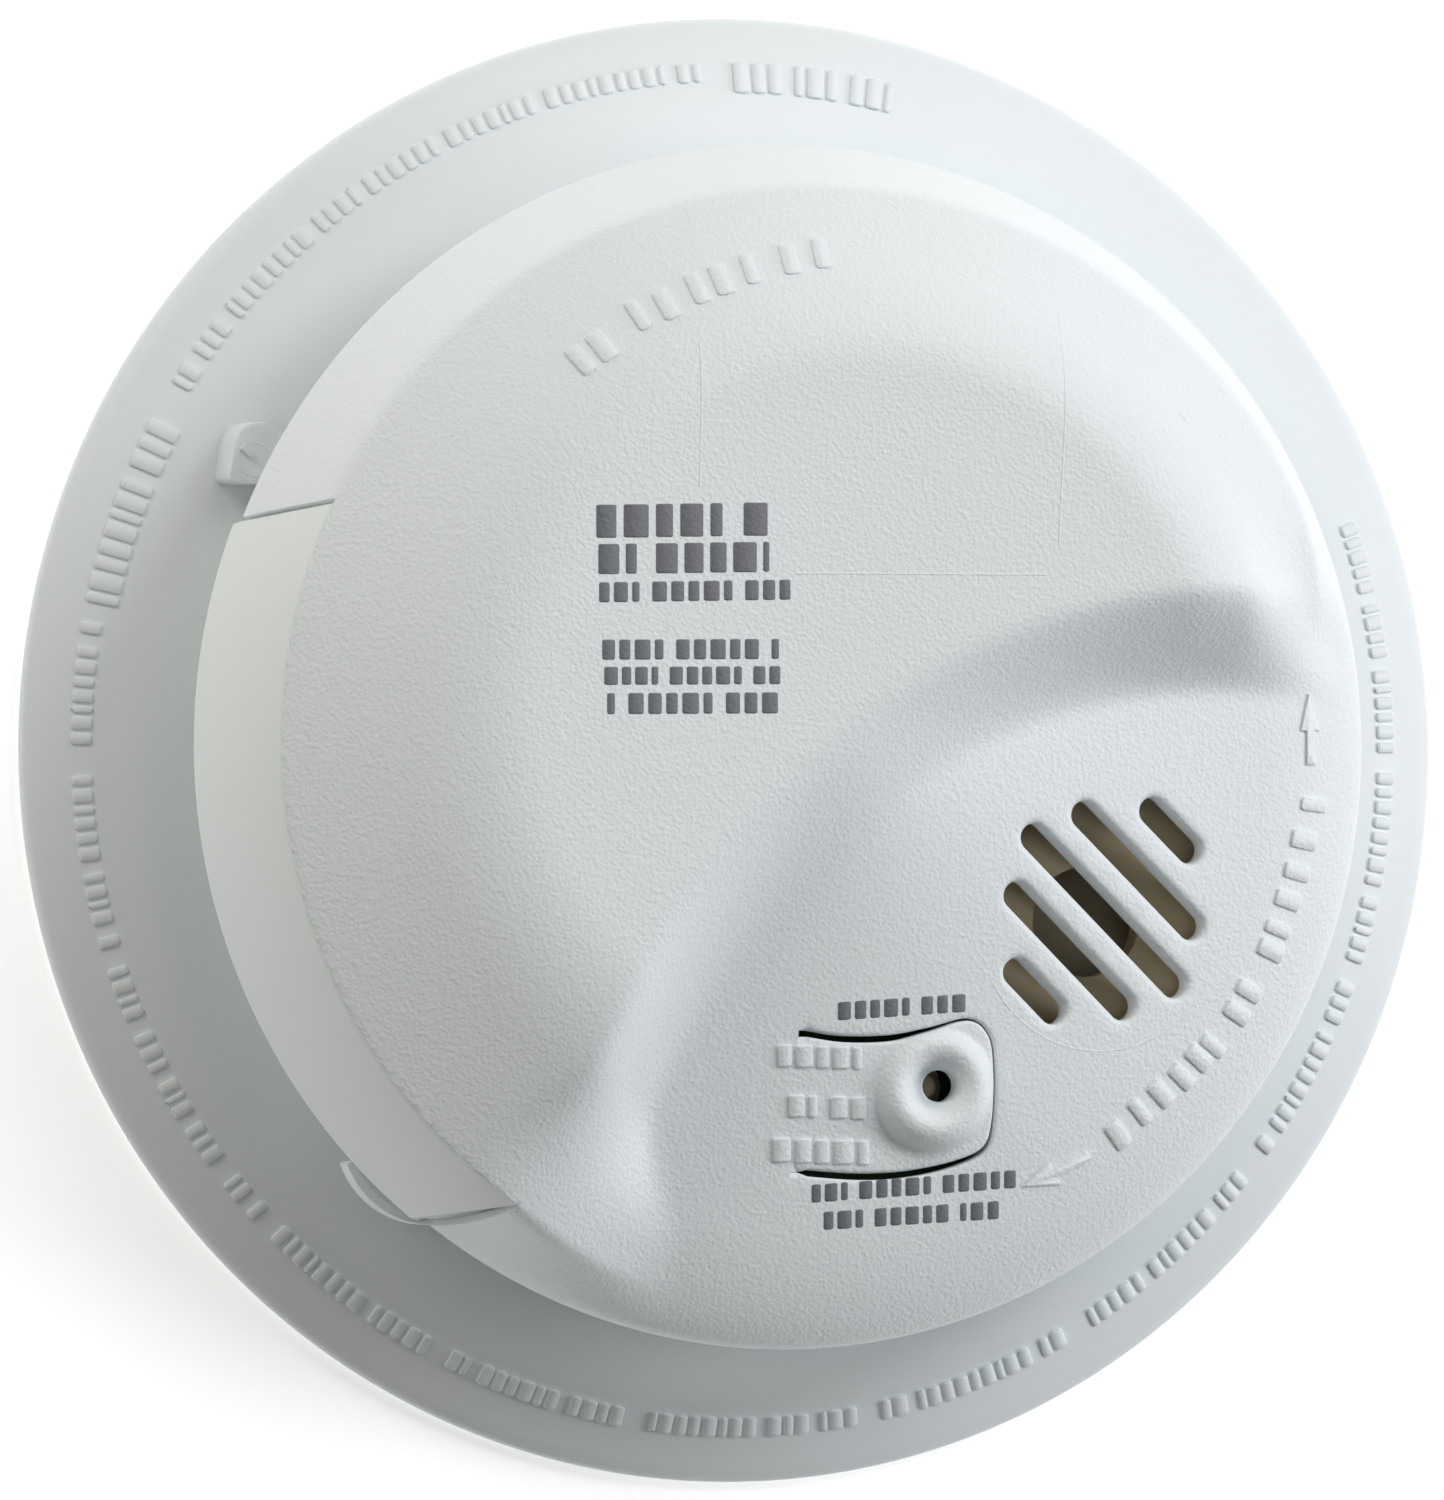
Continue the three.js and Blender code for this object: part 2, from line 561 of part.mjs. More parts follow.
function hornHousing() {
  const cup = turned([
    [HORN_RADIUS - 1.4, PART_FOOT], [HORN_RADIUS, PART_FOOT], [HORN_RADIUS, HORN_TOP - 0.8],
    [HORN_RADIUS - 0.8, HORN_TOP], [HORN_MOUTH_RADIUS, HORN_TOP], [HORN_MOUTH_RADIUS, HORN_TOP - 3],
    [HORN_MOUTH_RADIUS + 1, HORN_TOP - 3], [HORN_MOUTH_RADIUS + 1, HORN_TOP - 1.4],
    [HORN_RADIUS - 1.4, HORN_TOP - 1.4], [HORN_RADIUS - 1.4, 19.2], [HORN_RADIUS - 2.4, 19.2],
    [HORN_RADIUS - 2.4, 18.2], [HORN_RADIUS - 1.4, 18.2],
  ], 28);
  return cup.translate([...HORN_CENTRE, 0]);
}

const piezoDisc = () => cylinder(13.2, 17.5, 17.9, HORN_CENTRE, 32);
const piezoCeramic = () => cylinder(9, 18.2, 18.5, HORN_CENTRE, 24);
const piezoSupport = () => tube(10.6, 13.2, PART_FOOT, 17.2, HORN_CENTRE, 24);

const SENSOR_CENTRE = [8, 20];

function sensorCan() {
  const can = turned([
    [0, PART_FOOT], [10, PART_FOOT], [10, 17], [9.5, 17.5], [9.5, 18.3],
    [10, 18.8], [10, 31.4], [9.6, 31.9], [0, 31.9],
  ], 24);
  return can.translate([...SENSOR_CENTRE, 0]);
}

function sensorCap() {
  const outline = [[0, 32.2], [10.2, 32.2], [10.2, 33.4], [9.6, 34], [0, 34]];
  let cap = turned(outline, 24).translate([...SENSOR_CENTRE, 0]);
  for (let i = 0; i < 6; i += 1) {
    const [x, y] = polar(4, 60 * i);
    cap = cap.subtract(cylinder(1, 30, 36, [SENSOR_CENTRE[0] + x, SENSOR_CENTRE[1] + y], 8));
  }
  return cap;
}

const sensorGasket = () => tube(6.8, 9.2, 34.3, 36.8, SENSOR_CENTRE, 24);

function lampBody() {
  const lamp = turned([
    [0, PART_FOOT], [1.9, PART_FOOT], [1.9, 15.7], [1.5, 15.7],
    [1.5, 18.4], [1.2, 19.2], [0.6, 19.6], [0, 19.7],
  ], 14);
  return lamp.translate([...PAD_CENTRE, 0]);
}

function lightPipe() {
  const pipe = turned([
    [2.3, PART_FOOT], [3.2, PART_FOOT], [3.2, 21], [1.4, 22], [1.4, 25.8],
    [1.1, 26.3], [0, 26.5], [0, 20.3], [2.3, 20.3],
  ], 16);
  return pipe.translate([...PAD_CENTRE, 0]);
}

function standingCan(radius, height, centre) {
  const can = turned([
    [0, PART_FOOT], [radius, PART_FOOT], [radius, 16.2], [radius - 0.4, 16.6],
    [radius - 0.4, 17], [radius, 17.4],
    [radius, PART_FOOT + height - 0.5], [radius - 0.5, PART_FOOT + height], [0, PART_FOOT + height],
  ], 16);
  return can.translate([...centre, 0]);
}

function filmCapacitor() {
  const brick = roundedRectangle(17, 8, 0.8);
  return prism(brick, PART_FOOT, PART_FOOT + 12, 3).translate([28, 21, 0]);
}

function varistor() {
  const disc = new THREE.CylinderGeometry(5.2, 5.2, 3.6, 28);
  const round = solidOf(disc.translate(37, 3, 20.4));
  return round.add(block(34.6, 39.4, 1.4, 4.6, PART_FOOT, 17.5));
}

function inductor() {
  const spool = turned([
    [0, PART_FOOT], [5.4, PART_FOOT], [5.4, 16.2], [3.8, 16.6],
    [3.8, 22], [5.4, 22.4], [5.4, 23.6], [0, 23.6],
  ], 20);
  return spool.translate([9, -10, 0]);
}

const microcontroller = () => chip(10.2, 7.6, 2.4, [-3, 6]);
const rectifier = () => chip(7, 6.2, 4, [25, 7]);

function chip(length, width, height, [x, y]) {
  const shape = outlineShape([
    [-length / 2, -width / 2], [length / 2, -width / 2], [length / 2, width / 2], [-length / 2, width / 2],
  ]);
  const body = prism(shape, PART_FOOT, PART_FOOT + height).translate([x, y, 0]);
  const dot = cylinder(0.6, PART_FOOT + height - 0.3, 40, [x - length / 2 + 1.4, y + width / 2 - 1.4], 12);
  return body.subtract(dot);
}

function powerResistor() {
  const barrel = new THREE.CylinderGeometry(2.3, 2.3, 13, 20);
  const waist = new THREE.CylinderGeometry(1.9, 1.9, 16, 20);
  const body = solidOf(barrel.rotateZ(Math.PI / 2)).add(solidOf(waist.rotateZ(Math.PI / 2)));
  return body.translate([-2, -20, PART_FOOT + 2.6]);
}

// Power inlet: a three pin socket that opens through the back of the housing.
const INLET_CENTRE = [0, -4];

function powerInlet() {
  const [x, y] = INLET_CENTRE;
  let inlet = block(x - 12, x + 12, y - 6.5, y + 6.5, FLOOR_BOTTOM + GAP, BOARD_BOTTOM - GAP);
  inlet = inlet.subtract(block(x - 10.8, x + 10.8, y - 5.3, y + 5.3, 0, 11.8));
  for (const side of [-1, 0, 1]) {
    const px = x + 6.5 * side;
    inlet = inlet.subtract(block(px - 0.8, px + 0.8, y - 0.8, y + 0.8, 10, 14));
  }
  return inlet;
}

function inletPin(side) {
  const x = INLET_CENTRE[0] + 6.5 * side;
  const y = INLET_CENTRE[1];
  return block(x - 0.5, x + 0.5, y - 0.5, y + 0.5, 7.4, BOARD_BOTTOM - GAP);
}

// Assembly -------------------------------------------------------------------------------------

function part(name, solid, material) {
  const mesh = new THREE.Mesh(geometryOf(solid), material);
  mesh.name = name;
  return mesh;
}

function group(...members) {
  const made = new THREE.Group();
  made.add(...members);
  return made;
}

const housing = group(
  part('base_housing', baseHousing(), WHITE),
  part('front_cover', frontCover(), WHITE),
  ...SCREW_PLACES.map((place, i) => part(`case_screw_${i + 1}`, caseScrew(place), STEEL)),
);

const drawer = group(
  part('battery_drawer', batteryDrawer(), WHITE),
  part('battery_case', batteryCase(), BLACK),
  part('battery_positive_terminal', batteryTerminal(2.9, TERMINAL_SPREAD, 20), TIN),
  part('battery_negative_terminal', batteryTerminal(4.1, -TERMINAL_SPREAD, 6), TIN),
);

const drawerSupports = group(
  part('drawer_hinge_pin', hingePin(), STEEL),
  part('contact_holder', contactHolder(), TAN),
  part('battery_contact_positive', flatContact(BATTERY_MIDDLE[0] + TERMINAL_SPREAD), TIN),
  part('battery_contact_negative', bowedContact(BATTERY_MIDDLE[0] - TERMINAL_SPREAD), TIN),
);

const button = group(
  part('test_button', testButton(), WHITE),
  part('switch_plunger', switchPlunger(), BLACK),
  part('switch_body', switchBody(), BLACK),
);

const sounder = group(
  part('horn_housing', hornHousing(), TAN),
  part('piezo_support_ring', piezoSupport(), TAN),
  part('piezo_disc', piezoDisc(), BRASS),
  part('piezo_ceramic', piezoCeramic(), CERAMIC),
);

const sensor = group(
  part('gas_sensor_can', sensorCan(), STEEL),
  part('gas_sensor_cap', sensorCap(), BLACK),
  part('gas_sensor_gasket', sensorGasket(), FOAM),
);

const boardParts = group(
  part('circuit_board', circuitBoard(), BOARD_GREEN),
  part('microcontroller', microcontroller(), BLACK),
  part('rectifier', rectifier(), BLACK),
  part('film_capacitor', filmCapacitor(), YELLOW),
  part('reservoir_capacitor', standingCan(5, 12, [-9, 31]), BLUE),
  part('smoothing_capacitor', standingCan(4, 11, [-1, 36]), BLUE),
  part('varistor', varistor(), BLUE),
  part('horn_inductor', inductor(), BLACK),
  part('dropper_resistor', powerResistor(), CERAMIC),
  part('indicator_lamp', lampBody(), RED),
  part('light_pipe', lightPipe(), CLEAR),
);

const supply = group(
  part('power_inlet', powerInlet(), BLACK),
  part('inlet_pin_live', inletPin(-1), BRASS),
  part('inlet_pin_interconnect', inletPin(0), BRASS),
  part('inlet_pin_neutral', inletPin(1), BRASS),
);

const alarm = group(
  part('mounting_bracket', mountingBracket(), WHITE),
  housing, drawer, drawerSupports, button, sounder, sensor, boardParts, supply,
);

export default alarm;
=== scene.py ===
import itertools
import json
import math

import bpy
import numpy as np
from mathutils import Matrix, Vector, geometry


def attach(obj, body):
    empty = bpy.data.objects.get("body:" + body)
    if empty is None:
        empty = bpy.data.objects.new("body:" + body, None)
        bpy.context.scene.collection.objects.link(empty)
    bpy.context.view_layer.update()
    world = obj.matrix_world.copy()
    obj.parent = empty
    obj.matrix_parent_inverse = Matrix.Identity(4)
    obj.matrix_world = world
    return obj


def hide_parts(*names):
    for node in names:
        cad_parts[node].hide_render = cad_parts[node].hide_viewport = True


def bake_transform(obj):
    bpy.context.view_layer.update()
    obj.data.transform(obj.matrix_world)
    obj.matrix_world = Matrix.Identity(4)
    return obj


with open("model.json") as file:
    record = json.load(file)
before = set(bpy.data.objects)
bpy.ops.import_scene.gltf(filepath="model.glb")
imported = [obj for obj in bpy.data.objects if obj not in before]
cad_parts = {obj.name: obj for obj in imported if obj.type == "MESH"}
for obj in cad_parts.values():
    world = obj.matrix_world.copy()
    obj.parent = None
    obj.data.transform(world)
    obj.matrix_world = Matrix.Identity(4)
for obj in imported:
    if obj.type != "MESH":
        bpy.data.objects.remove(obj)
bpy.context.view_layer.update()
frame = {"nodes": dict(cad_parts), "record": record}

MM = 0.001

# Camera, in metres apart from the lens and its sensor ------------------------------------------

CAMERA_BACK = (-0.2717, -0.0176, 0.9622)
CAMERA_DISTANCE = 6
CAMERA_LENS = 1484.4
CAMERA_SENSOR = 36
CAMERA_AIM_HEIGHT = 0.0015
CAMERA_AIM_LEFT = 0.00053

# The framed view's own grid, in which marks on the cover are placed -----------------------------

GRID_PER_MM = 10.31
GRID_CENTRE = (722.3, 750.6)
GRID_SQUEEZE = 0.962
GRID_LEAN = (0.272, 0.0174)
GRID_LEVEL = 1.5

# Light: every lamp is a disc of the same size, at the same distance in metres --------------------

LAMP_SIZE = 0.6
LAMP_DISTANCE = 1.3
WORLD_STRENGTH = 0.05
FLOOR_GLOW = 0.45
FLOOR_HALF = 3
FLOOR_DROP = 0.0002

# Driving dimensions, in millimetres. Most are the imported model's.

NECK_RADIUS = 54.0
NECK_INSIDE = 52.2
NECK_TOP = 21.6
COVER_TOP = 43.0
COVER_WALL = 2.2
PRINT_ROOM = 0.04  # the crown's lowering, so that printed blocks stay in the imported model's box
RIM_RADIUS = 58.3
RIM_HEIGHT = 21.2
RIM_UNDERSIDE = 20.6
SHOULDER_RADIUS = 54.2
SHOULDER_HEIGHT = 33.8
WALL_SLOPE = (SHOULDER_HEIGHT - RIM_HEIGHT) / (RIM_RADIUS - SHOULDER_RADIUS)
WALL_BLEND = 1.5
CROWN_FLAT = (33.3, 4.2)  # the flat top's mean radius, and how far it reaches to one side
CROWN_CONE = (44, 2.2)  # the same for the start of the slope
SCOOP_CENTRE = (41.5, -54.9)
SCOOP_RADIUS = 65.2
SCOOP_LEVEL = 40
SCOOP_FALL = 0.26
ROLL_START = 47
STEP_HALF_WIDTH = 5.5
STEP_WIDENED = 6.5  # added to the half width at the step's left end
WIDENING_START = 38
CORNER_START = 43.5  # where the plateau's corner beside the step's right end starts to fall
CORNER_SIZE = 9
FADE_LENGTH = 13
HINGE = (-35.0, -37.4)
HINGE_BORE = 1.5
OPENING_RADIUS = 53.75
# Distances from the drawer's hinge to the near and the far end of each of these.
OPENING_REACH = (9.0, 62.3)
DOOR_REACH = (8.6, 61.9)
SKIRT_REACH = (7.8, 61.5)
FLOOR_REACH = (7.4, 55.6)
DOOR_TOP_RADIUS = 53.9
DOOR_TOP = 33.9
DRAWER_SIDE = (18.1, 19.3)
DRAWER_TURN = math.radians(105)
SLOT_CENTRE = (29.5, -15.9)
SLOT_TURN = math.radians(-42)
SLOT_PITCH = 5.25
SLOT_WIDTH = 2.7
SLOT_LENGTHS = (5.5, 15.9, 21.0, 15.9, 5.5)
FLAP_LEFT = -1.7
PAD_CENTRE = (12.4, -32.9)
LAMP_HOLE_CENTRE = (13.3, -32.9)
LAMP_HOLE_RADIUS = 1.55
POST_CENTRE = (4.5, -34.8)
SCREW_PLACES = ((44.0, 80.0), (44.5, 42.0), (45.0, -56.0), (44.0, -100.0))
HOOK_ANGLES = (10.0, 130.0, 250.0)
SLOT_EDGE = 0.65
SLIT_EDGE = 0.35
OPENING_EDGE = 0.14
RIM_EDGE = 0.45
LAMP_HOLE_EDGE = 0.25
SINK = 0.3  # how deep raised marks go into what they stand on
# The slit round the button: share of its length, and half widths inwards and outwards.
SLIT_WIDTHS = (
    (0, 0.33, 0.32), (0.18, 0.3, 0.3), (0.3, 0.1, 0.14), (0.42, 0.06, 0.1), (0.58, 0.06, 0.1),
    (0.68, 0.2, 0.25), (0.8, 0.3, 0.32), (0.985, 0.33, 0.32), (1, 0.02, 0.02),
)
SLIT_KNOTS = (
    (-0.7, -27.9), (3, -28.4), (7.7, -28.3), (11.5, -27.5), (15.6, -26.5),
    (17.8, -27.9), (18.6, -31), (18.8, -36), (18.1, -38.9), (15.0, -40.4),
    (10.2, -41.4), (5.3, -41.65), (-0.8, -41.25),
)


# Camera, floor and light ----------------------------------------------------------------------

def make_camera():
    back = Vector(CAMERA_BACK).normalized()
    right = Vector((0, 1, 0)).cross(back).normalized()
    up = back.cross(right)
    data = bpy.data.cameras.new("camera")
    data.lens = CAMERA_LENS
    data.sensor_width = CAMERA_SENSOR
    data.clip_end = 20
    camera = bpy.data.objects.new("camera", data)
    turn = Matrix((right, up, back)).transposed().to_4x4()
    aim = Vector((0, 0, CAMERA_AIM_HEIGHT)) - right * CAMERA_AIM_LEFT
    camera.matrix_world = Matrix.Translation(aim + back * CAMERA_DISTANCE) @ turn
    bpy.context.scene.collection.objects.link(camera)
    bpy.context.scene.camera = camera


def area_light(name, azimuth, elevation, power, colour):
    a, e = math.radians(azimuth), math.radians(elevation)
    out = Vector((math.cos(a) * math.cos(e), math.sin(a) * math.cos(e), math.sin(e)))
    data = bpy.data.lights.new(name, "AREA")
    data.shape = "DISK"
    data.size = LAMP_SIZE
    data.energy = power
    data.color = colour
    light = bpy.data.objects.new(name, data)
    light.location = out * LAMP_DISTANCE
    light.rotation_mode = "QUATERNION"
    light.rotation_quaternion = out.to_track_quat("Z", "Y")
    bpy.context.scene.collection.objects.link(light)


def make_light():
    scene = bpy.context.scene
    world = bpy.data.worlds.new("studio")
    world.use_nodes = True
    background = world.node_tree.nodes["Background"]
    background.inputs["Color"].default_value = (1, 1, 1, 1)
    background.inputs["Strength"].default_value = WORLD_STRENGTH
    scene.world = world
    scene.view_settings.view_transform = "Standard"
    area_light("right", 0, 25, 7.3, (1, 1, 1))
    area_light("key_high", 45, 50, 6.3, (0.94, 0.975, 1))
    area_light("upper_left", 135, 25, 4.0, (1, 0.99, 0.86))
    area_light("back", 90, 50, 1.9, (1, 0.9, 0.9))
    area_light("left_fill", 180, 50, 1.6, (1, 0.95, 0.85))
    area_light("top", 0, 85, 0.8, (0.9, 0.98, 1))


def make_floor():
    floor = bpy.data.materials.new("floor_paper")
    floor.use_nodes = True
    nodes, links = floor.node_tree.nodes, floor.node_tree.links
    shader = nodes["Principled BSDF"]
    noise = nodes.new("ShaderNodeTexNoise")
    noise.inputs["Scale"].default_value = 40
    mix = nodes.new("ShaderNodeMix")
    mix.data_type = "RGBA"
    mix.inputs["A"].default_value = (0.93, 0.93, 0.93, 1)
    mix.inputs["B"].default_value = (0.96, 0.96, 0.96, 1)
    links.new(noise.outputs["Fac"], mix.inputs["Factor"])
    links.new(mix.outputs["Result"], shader.inputs["Base Color"])
    shader.inputs["Roughness"].default_value = 0.9
    shader.inputs["Emission Color"].default_value = (1, 1, 1, 1)
    shader.inputs["Emission Strength"].default_value = FLOOR_GLOW
    mesh = bpy.data.meshes.new("floor")
    far = FLOOR_HALF
    corners = [(-far, -far, 0), (far, -far, 0), (far, far, 0), (-far, far, 0)]
    mesh.from_pydata(corners, [], [(0, 1, 2, 3)])
    mesh.materials.append(floor)
    plane = bpy.data.objects.new("floor", mesh)
    bpy.context.scene.collection.objects.link(plane)
    plane.location.z = -FLOOR_DROP


# Materials ------------------------------------------------------------------------------------

DRIFT_SIZE = 22
GLOSS_SPREAD = 0.08


def material(
    name, colour, rough, grain, depth, mottle=0.03, stretch=(1, 1, 1), cells=0.0, metal=0.0,
):
    """A moulded or drawn surface with broad colour drift and fine grain in its bump and roughness.

    The grain's size and depth are in millimetres; cells is the share of round pebbles in it.
    """
    made = bpy.data.materials.new(name)
    made.use_nodes = True
    nodes, links = made.node_tree.nodes, made.node_tree.links
    surface = nodes["Principled BSDF"]
    place = nodes.new("ShaderNodeTexCoord").outputs["Object"]
    mapping = nodes.new("ShaderNodeMapping")
    mapping.inputs["Scale"].default_value = [s / (grain * MM) for s in stretch]
    links.new(place, mapping.inputs["Vector"])
    fine = nodes.new("ShaderNodeTexNoise")
    fine.inputs["Scale"].default_value = 1
    fine.inputs["Detail"].default_value = 3
    links.new(mapping.outputs["Vector"], fine.inputs["Vector"])
    height = fine.outputs["Fac"]
    if cells:
        pebble = nodes.new("ShaderNodeTexVoronoi")
        pebble.feature = "SMOOTH_F1"
        pebble.inputs["Scale"].default_value = 0.75
        links.new(mapping.outputs["Vector"], pebble.inputs["Vector"])
        both = nodes.new("ShaderNodeMix")
        both.inputs["Factor"].default_value = cells
        links.new(fine.outputs["Fac"], both.inputs["A"])
        links.new(pebble.outputs["Distance"], both.inputs["B"])
        height = both.outputs["Result"]
    bump = nodes.new("ShaderNodeBump")
    bump.inputs["Distance"].default_value = depth * MM
    links.new(height, bump.inputs["Height"])
    links.new(bump.outputs["Normal"], surface.inputs["Normal"])
    broad = nodes.new("ShaderNodeTexNoise")
    broad.inputs["Scale"].default_value = 1 / (DRIFT_SIZE * MM)
    broad.inputs["Detail"].default_value = 2
    links.new(place, broad.inputs["Vector"])
    tint = nodes.new("ShaderNodeMix")
    tint.data_type = "RGBA"
    tint.inputs["A"].default_value = [c * (1 - mottle) for c in colour] + [1]
    tint.inputs["B"].default_value = [min(1, c * (1 + mottle)) for c in colour] + [1]
    links.new(broad.outputs["Fac"], tint.inputs["Factor"])
    links.new(tint.outputs["Result"], surface.inputs["Base Color"])
    gloss = nodes.new("ShaderNodeMapRange")
    gloss.inputs["To Min"].default_value = max(0.02, rough - GLOSS_SPREAD)
    gloss.inputs["To Max"].default_value = min(1, rough + GLOSS_SPREAD)
    links.new(fine.outputs["Fac"], gloss.inputs["Value"])
    links.new(gloss.outputs["Result"], surface.inputs["Roughness"])
    surface.inputs["Metallic"].default_value = metal
    return made


def banded(base, colour, direction, low, high):
    """Adds a band of a second colour across a material, between two distances along a direction."""
    nodes, links = base.node_tree.nodes, base.node_tree.links
    surface = nodes["Principled BSDF"]
    under = surface.inputs["Base Color"].links[0].from_socket
    along = nodes.new("ShaderNodeVectorMath")
    along.operation = "DOT_PRODUCT"
    along.inputs[1].default_value = direction
    links.new(nodes.new("ShaderNodeTexCoord").outputs["Object"], along.inputs[0])
    steps = []
    for operation, limit in (("GREATER_THAN", low), ("LESS_THAN", high)):
        step = nodes.new("ShaderNodeMath")
        step.operation = operation
        step.inputs[1].default_value = limit * MM
        links.new(along.outputs["Value"], step.inputs[0])
        steps.append(step)
    both = nodes.new("ShaderNodeMath")
    both.operation = "MULTIPLY"
    links.new(steps[0].outputs[0], both.inputs[0])
    links.new(steps[1].outputs[0], both.inputs[1])
    mix = nodes.new("ShaderNodeMix")
    mix.data_type = "RGBA"
    mix.inputs["B"].default_value = [*colour, 1]
    links.new(both.outputs[0], mix.inputs["Factor"])
    links.new(under, mix.inputs["A"])
    links.new(mix.outputs["Result"], surface.inputs["Base Color"])
    return base


WHITE = (0.79, 0.832, 0.85)
HOUSING = material(
    "housing_grained", WHITE, 0.52, grain=0.3, depth=0.115, mottle=0.012, cells=0.6)
SMOOTH = material("housing_smooth", WHITE, 0.48, grain=1.6, depth=0.015, mottle=0.012)
DOOR = material("door_smooth", (0.81, 0.845, 0.85), 0.42, grain=2.2, depth=0.012, mottle=0.01)
BRACKET = material(
    "bracket_plastic", (0.77, 0.775, 0.78), 0.6, grain=0.9, depth=0.02, mottle=0.02)
PRINT = material(
    "grey_print", (0.165, 0.172, 0.192), 0.6, grain=0.3, depth=0.1, mottle=0.06, cells=0.6)
TAN = material("tan_plastic", (0.50, 0.40, 0.25), 0.6, grain=0.7, depth=0.02, mottle=0.06)
BLACK = material("black_plastic", (0.012, 0.012, 0.014), 0.42, grain=0.5, depth=0.02, mottle=0.2)
BOARD = material(
    "board_lacquer", (0.03, 0.14, 0.055), 0.35, grain=1.3, depth=0.03, mottle=0.3, cells=0.5)
JACKET = banded(
    material(
        "battery_jacket", (0.02, 0.022, 0.03), 0.28, grain=4, depth=0.02, mottle=0.2, metal=0.3),
    (0.55, 0.30, 0.10), (math.cos(DRAWER_TURN), math.sin(DRAWER_TURN), 0), 8, 23.2,
)
YELLOW = material("yellow_film", (0.55, 0.36, 0.03), 0.4, grain=0.8, depth=0.02, mottle=0.08)
BLUE = material("blue_sleeve", (0.03, 0.08, 0.27), 0.35, grain=0.8, depth=0.01, mottle=0.1)
CLEAR = material("clear_plastic", (0.72, 0.6, 0.4), 0.12, grain=3, depth=0.01, mottle=0.02)
RED = material("red_lens", (0.42, 0.02, 0.015), 0.18, grain=2, depth=0.01, mottle=0.1)
FOAM = material(
    "grey_foam", (0.04, 0.04, 0.045), 0.95, grain=0.35, depth=0.12, mottle=0.15, cells=0.8)
# Painted shade: the ceramic disc's dark brown stands in for the shade down the horn's port, and is
# darker than the disc's own light grey.
SHADED_CERAMIC = material("ceramic", (0.36, 0.29, 0.19), 0.5, grain=0.5, depth=0.02, mottle=0.05)
STEEL = material(
    "plated_steel", (0.55, 0.56, 0.57), 0.3, grain=0.5, depth=0.008, stretch=(1, 1, 6), metal=1)
BRASS = material(
    "brass", (0.62, 0.42, 0.16), 0.3, grain=0.6, depth=0.008, stretch=(6, 1, 1), metal=1)
TIN = material(
    "tin_plate", (0.62, 0.62, 0.63), 0.26, grain=0.5, depth=0.008, stretch=(1, 5, 1), metal=1)

SLOT_MATERIALS = {
    "white_housing": SMOOTH, "white_door": DOOR, "white_bracket": BRACKET, "tan_plastic": TAN,
    "board_green": BOARD, "black_plastic": BLACK, "battery_jacket": JACKET,
    "yellow_film": YELLOW, "blue_sleeve": BLUE, "clear_plastic": CLEAR, "red_lens": RED,
    "grey_foam": FOAM, "ceramic": SHADED_CERAMIC, "plated_steel": STEEL, "brass": BRASS,
    "tin_plate": TIN,
}


# Mesh helpers ---------------------------------------------------------------------------------

def polar(radius, degrees):
    a = math.radians(degrees)
    return radius * math.cos(a), radius * math.sin(a)


def joined(*parts):
    """One list of points and one of faces from several (points, faces) pairs."""
    points, faces, start = [], [], 0
    for part_points, part_faces in parts:
        points.append(np.asarray(part_points, float))
        faces += [tuple(start + i for i in face) for face in part_faces]
        start += len(part_points)
    return np.vstack(points), faces


def piece(name, shape, body, finish, sharp=38, blended=False):
    """A mesh object in the alarm's frame, smooth except across edges steeper than sharp degrees."""
    points, faces = shape
    mesh = bpy.data.meshes.new(name)
    mesh.from_pydata((np.asarray(points) * MM).tolist(), [], faces)
    mesh.validate()
    mesh.set_sharp_from_angle(angle=math.radians(sharp))
    mesh.materials.append(finish)
    made = bpy.data.objects.new(name, mesh)
    bpy.context.scene.collection.objects.link(made)
    if not blended:
        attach(made, body)
    return made


def filleted(outline, cut, steps=4):
    """A closed outline with each corner cut back by that much and rounded."""
    corners = np.asarray(outline, float)
    cuts = [cut] * len(corners) if np.isscalar(cut) else cut
    rounded = []
    for i, corner in enumerate(corners):
        before, after = corners[i - 1] - corner, corners[(i + 1) % len(corners)] - corner
        reach = min(cuts[i], 0.48 * np.linalg.norm(before), 0.48 * np.linalg.norm(after))
        if reach < 1e-3:
            rounded.append(corner)
            continue
        a = corner + before / np.linalg.norm(before) * reach
        b = corner + after / np.linalg.norm(after) * reach
        for s in np.linspace(0, 1, steps + 1):
            rounded.append((1 - s) ** 2 * a + 2 * s * (1 - s) * corner + s * s * b)
    return np.array(rounded)


def swept(rows, ring):
    """A solid from rows of points, each a closed section: a ring of them, or capped ends."""
    rows = np.asarray(rows, float)
    count, width = rows.shape[:2]
    faces = []
    for i in range(count if ring else count - 1):
        j = (i + 1) % count
        for k in range(width):
            m = (k + 1) % width
            faces.append((i * width + k, j * width + k, j * width + m, i * width + m))
    if not ring:
        faces.append(tuple(range(width)))
        faces.append(tuple(range((count - 1) * width, count * width))[::-1])
    return rows.reshape(-1, 3), faces


def turned(section, start=0.0, end=360.0, centre=(0, 0), step=1.0):
    """A closed (radius, height) section turned about a vertical axis."""
    ring = end - start >= 360
    angles = np.radians(np.linspace(start, end, max(3, int((end - start) / step)) + 1))
    angles = angles[:-1] if ring else angles
    x, y = centre
    rows = [
        [(x + r * math.cos(a), y + r * math.sin(a), z) for r, z in section] for a in angles
    ]
    return swept(rows, ring)


def round_bar(radius, low, high, centre, hole=0.0):
    """An upright round bar, or a tube where it has a hole, with its edges softened."""
    outline = [(hole, low), (radius, low), (radius, high), (hole, high)]
    edge = 0.2
    bore_edge = edge if hole else 0
    return turned(filleted(outline, [bore_edge, edge, edge, bore_edge], 2), centre=centre, step=9)


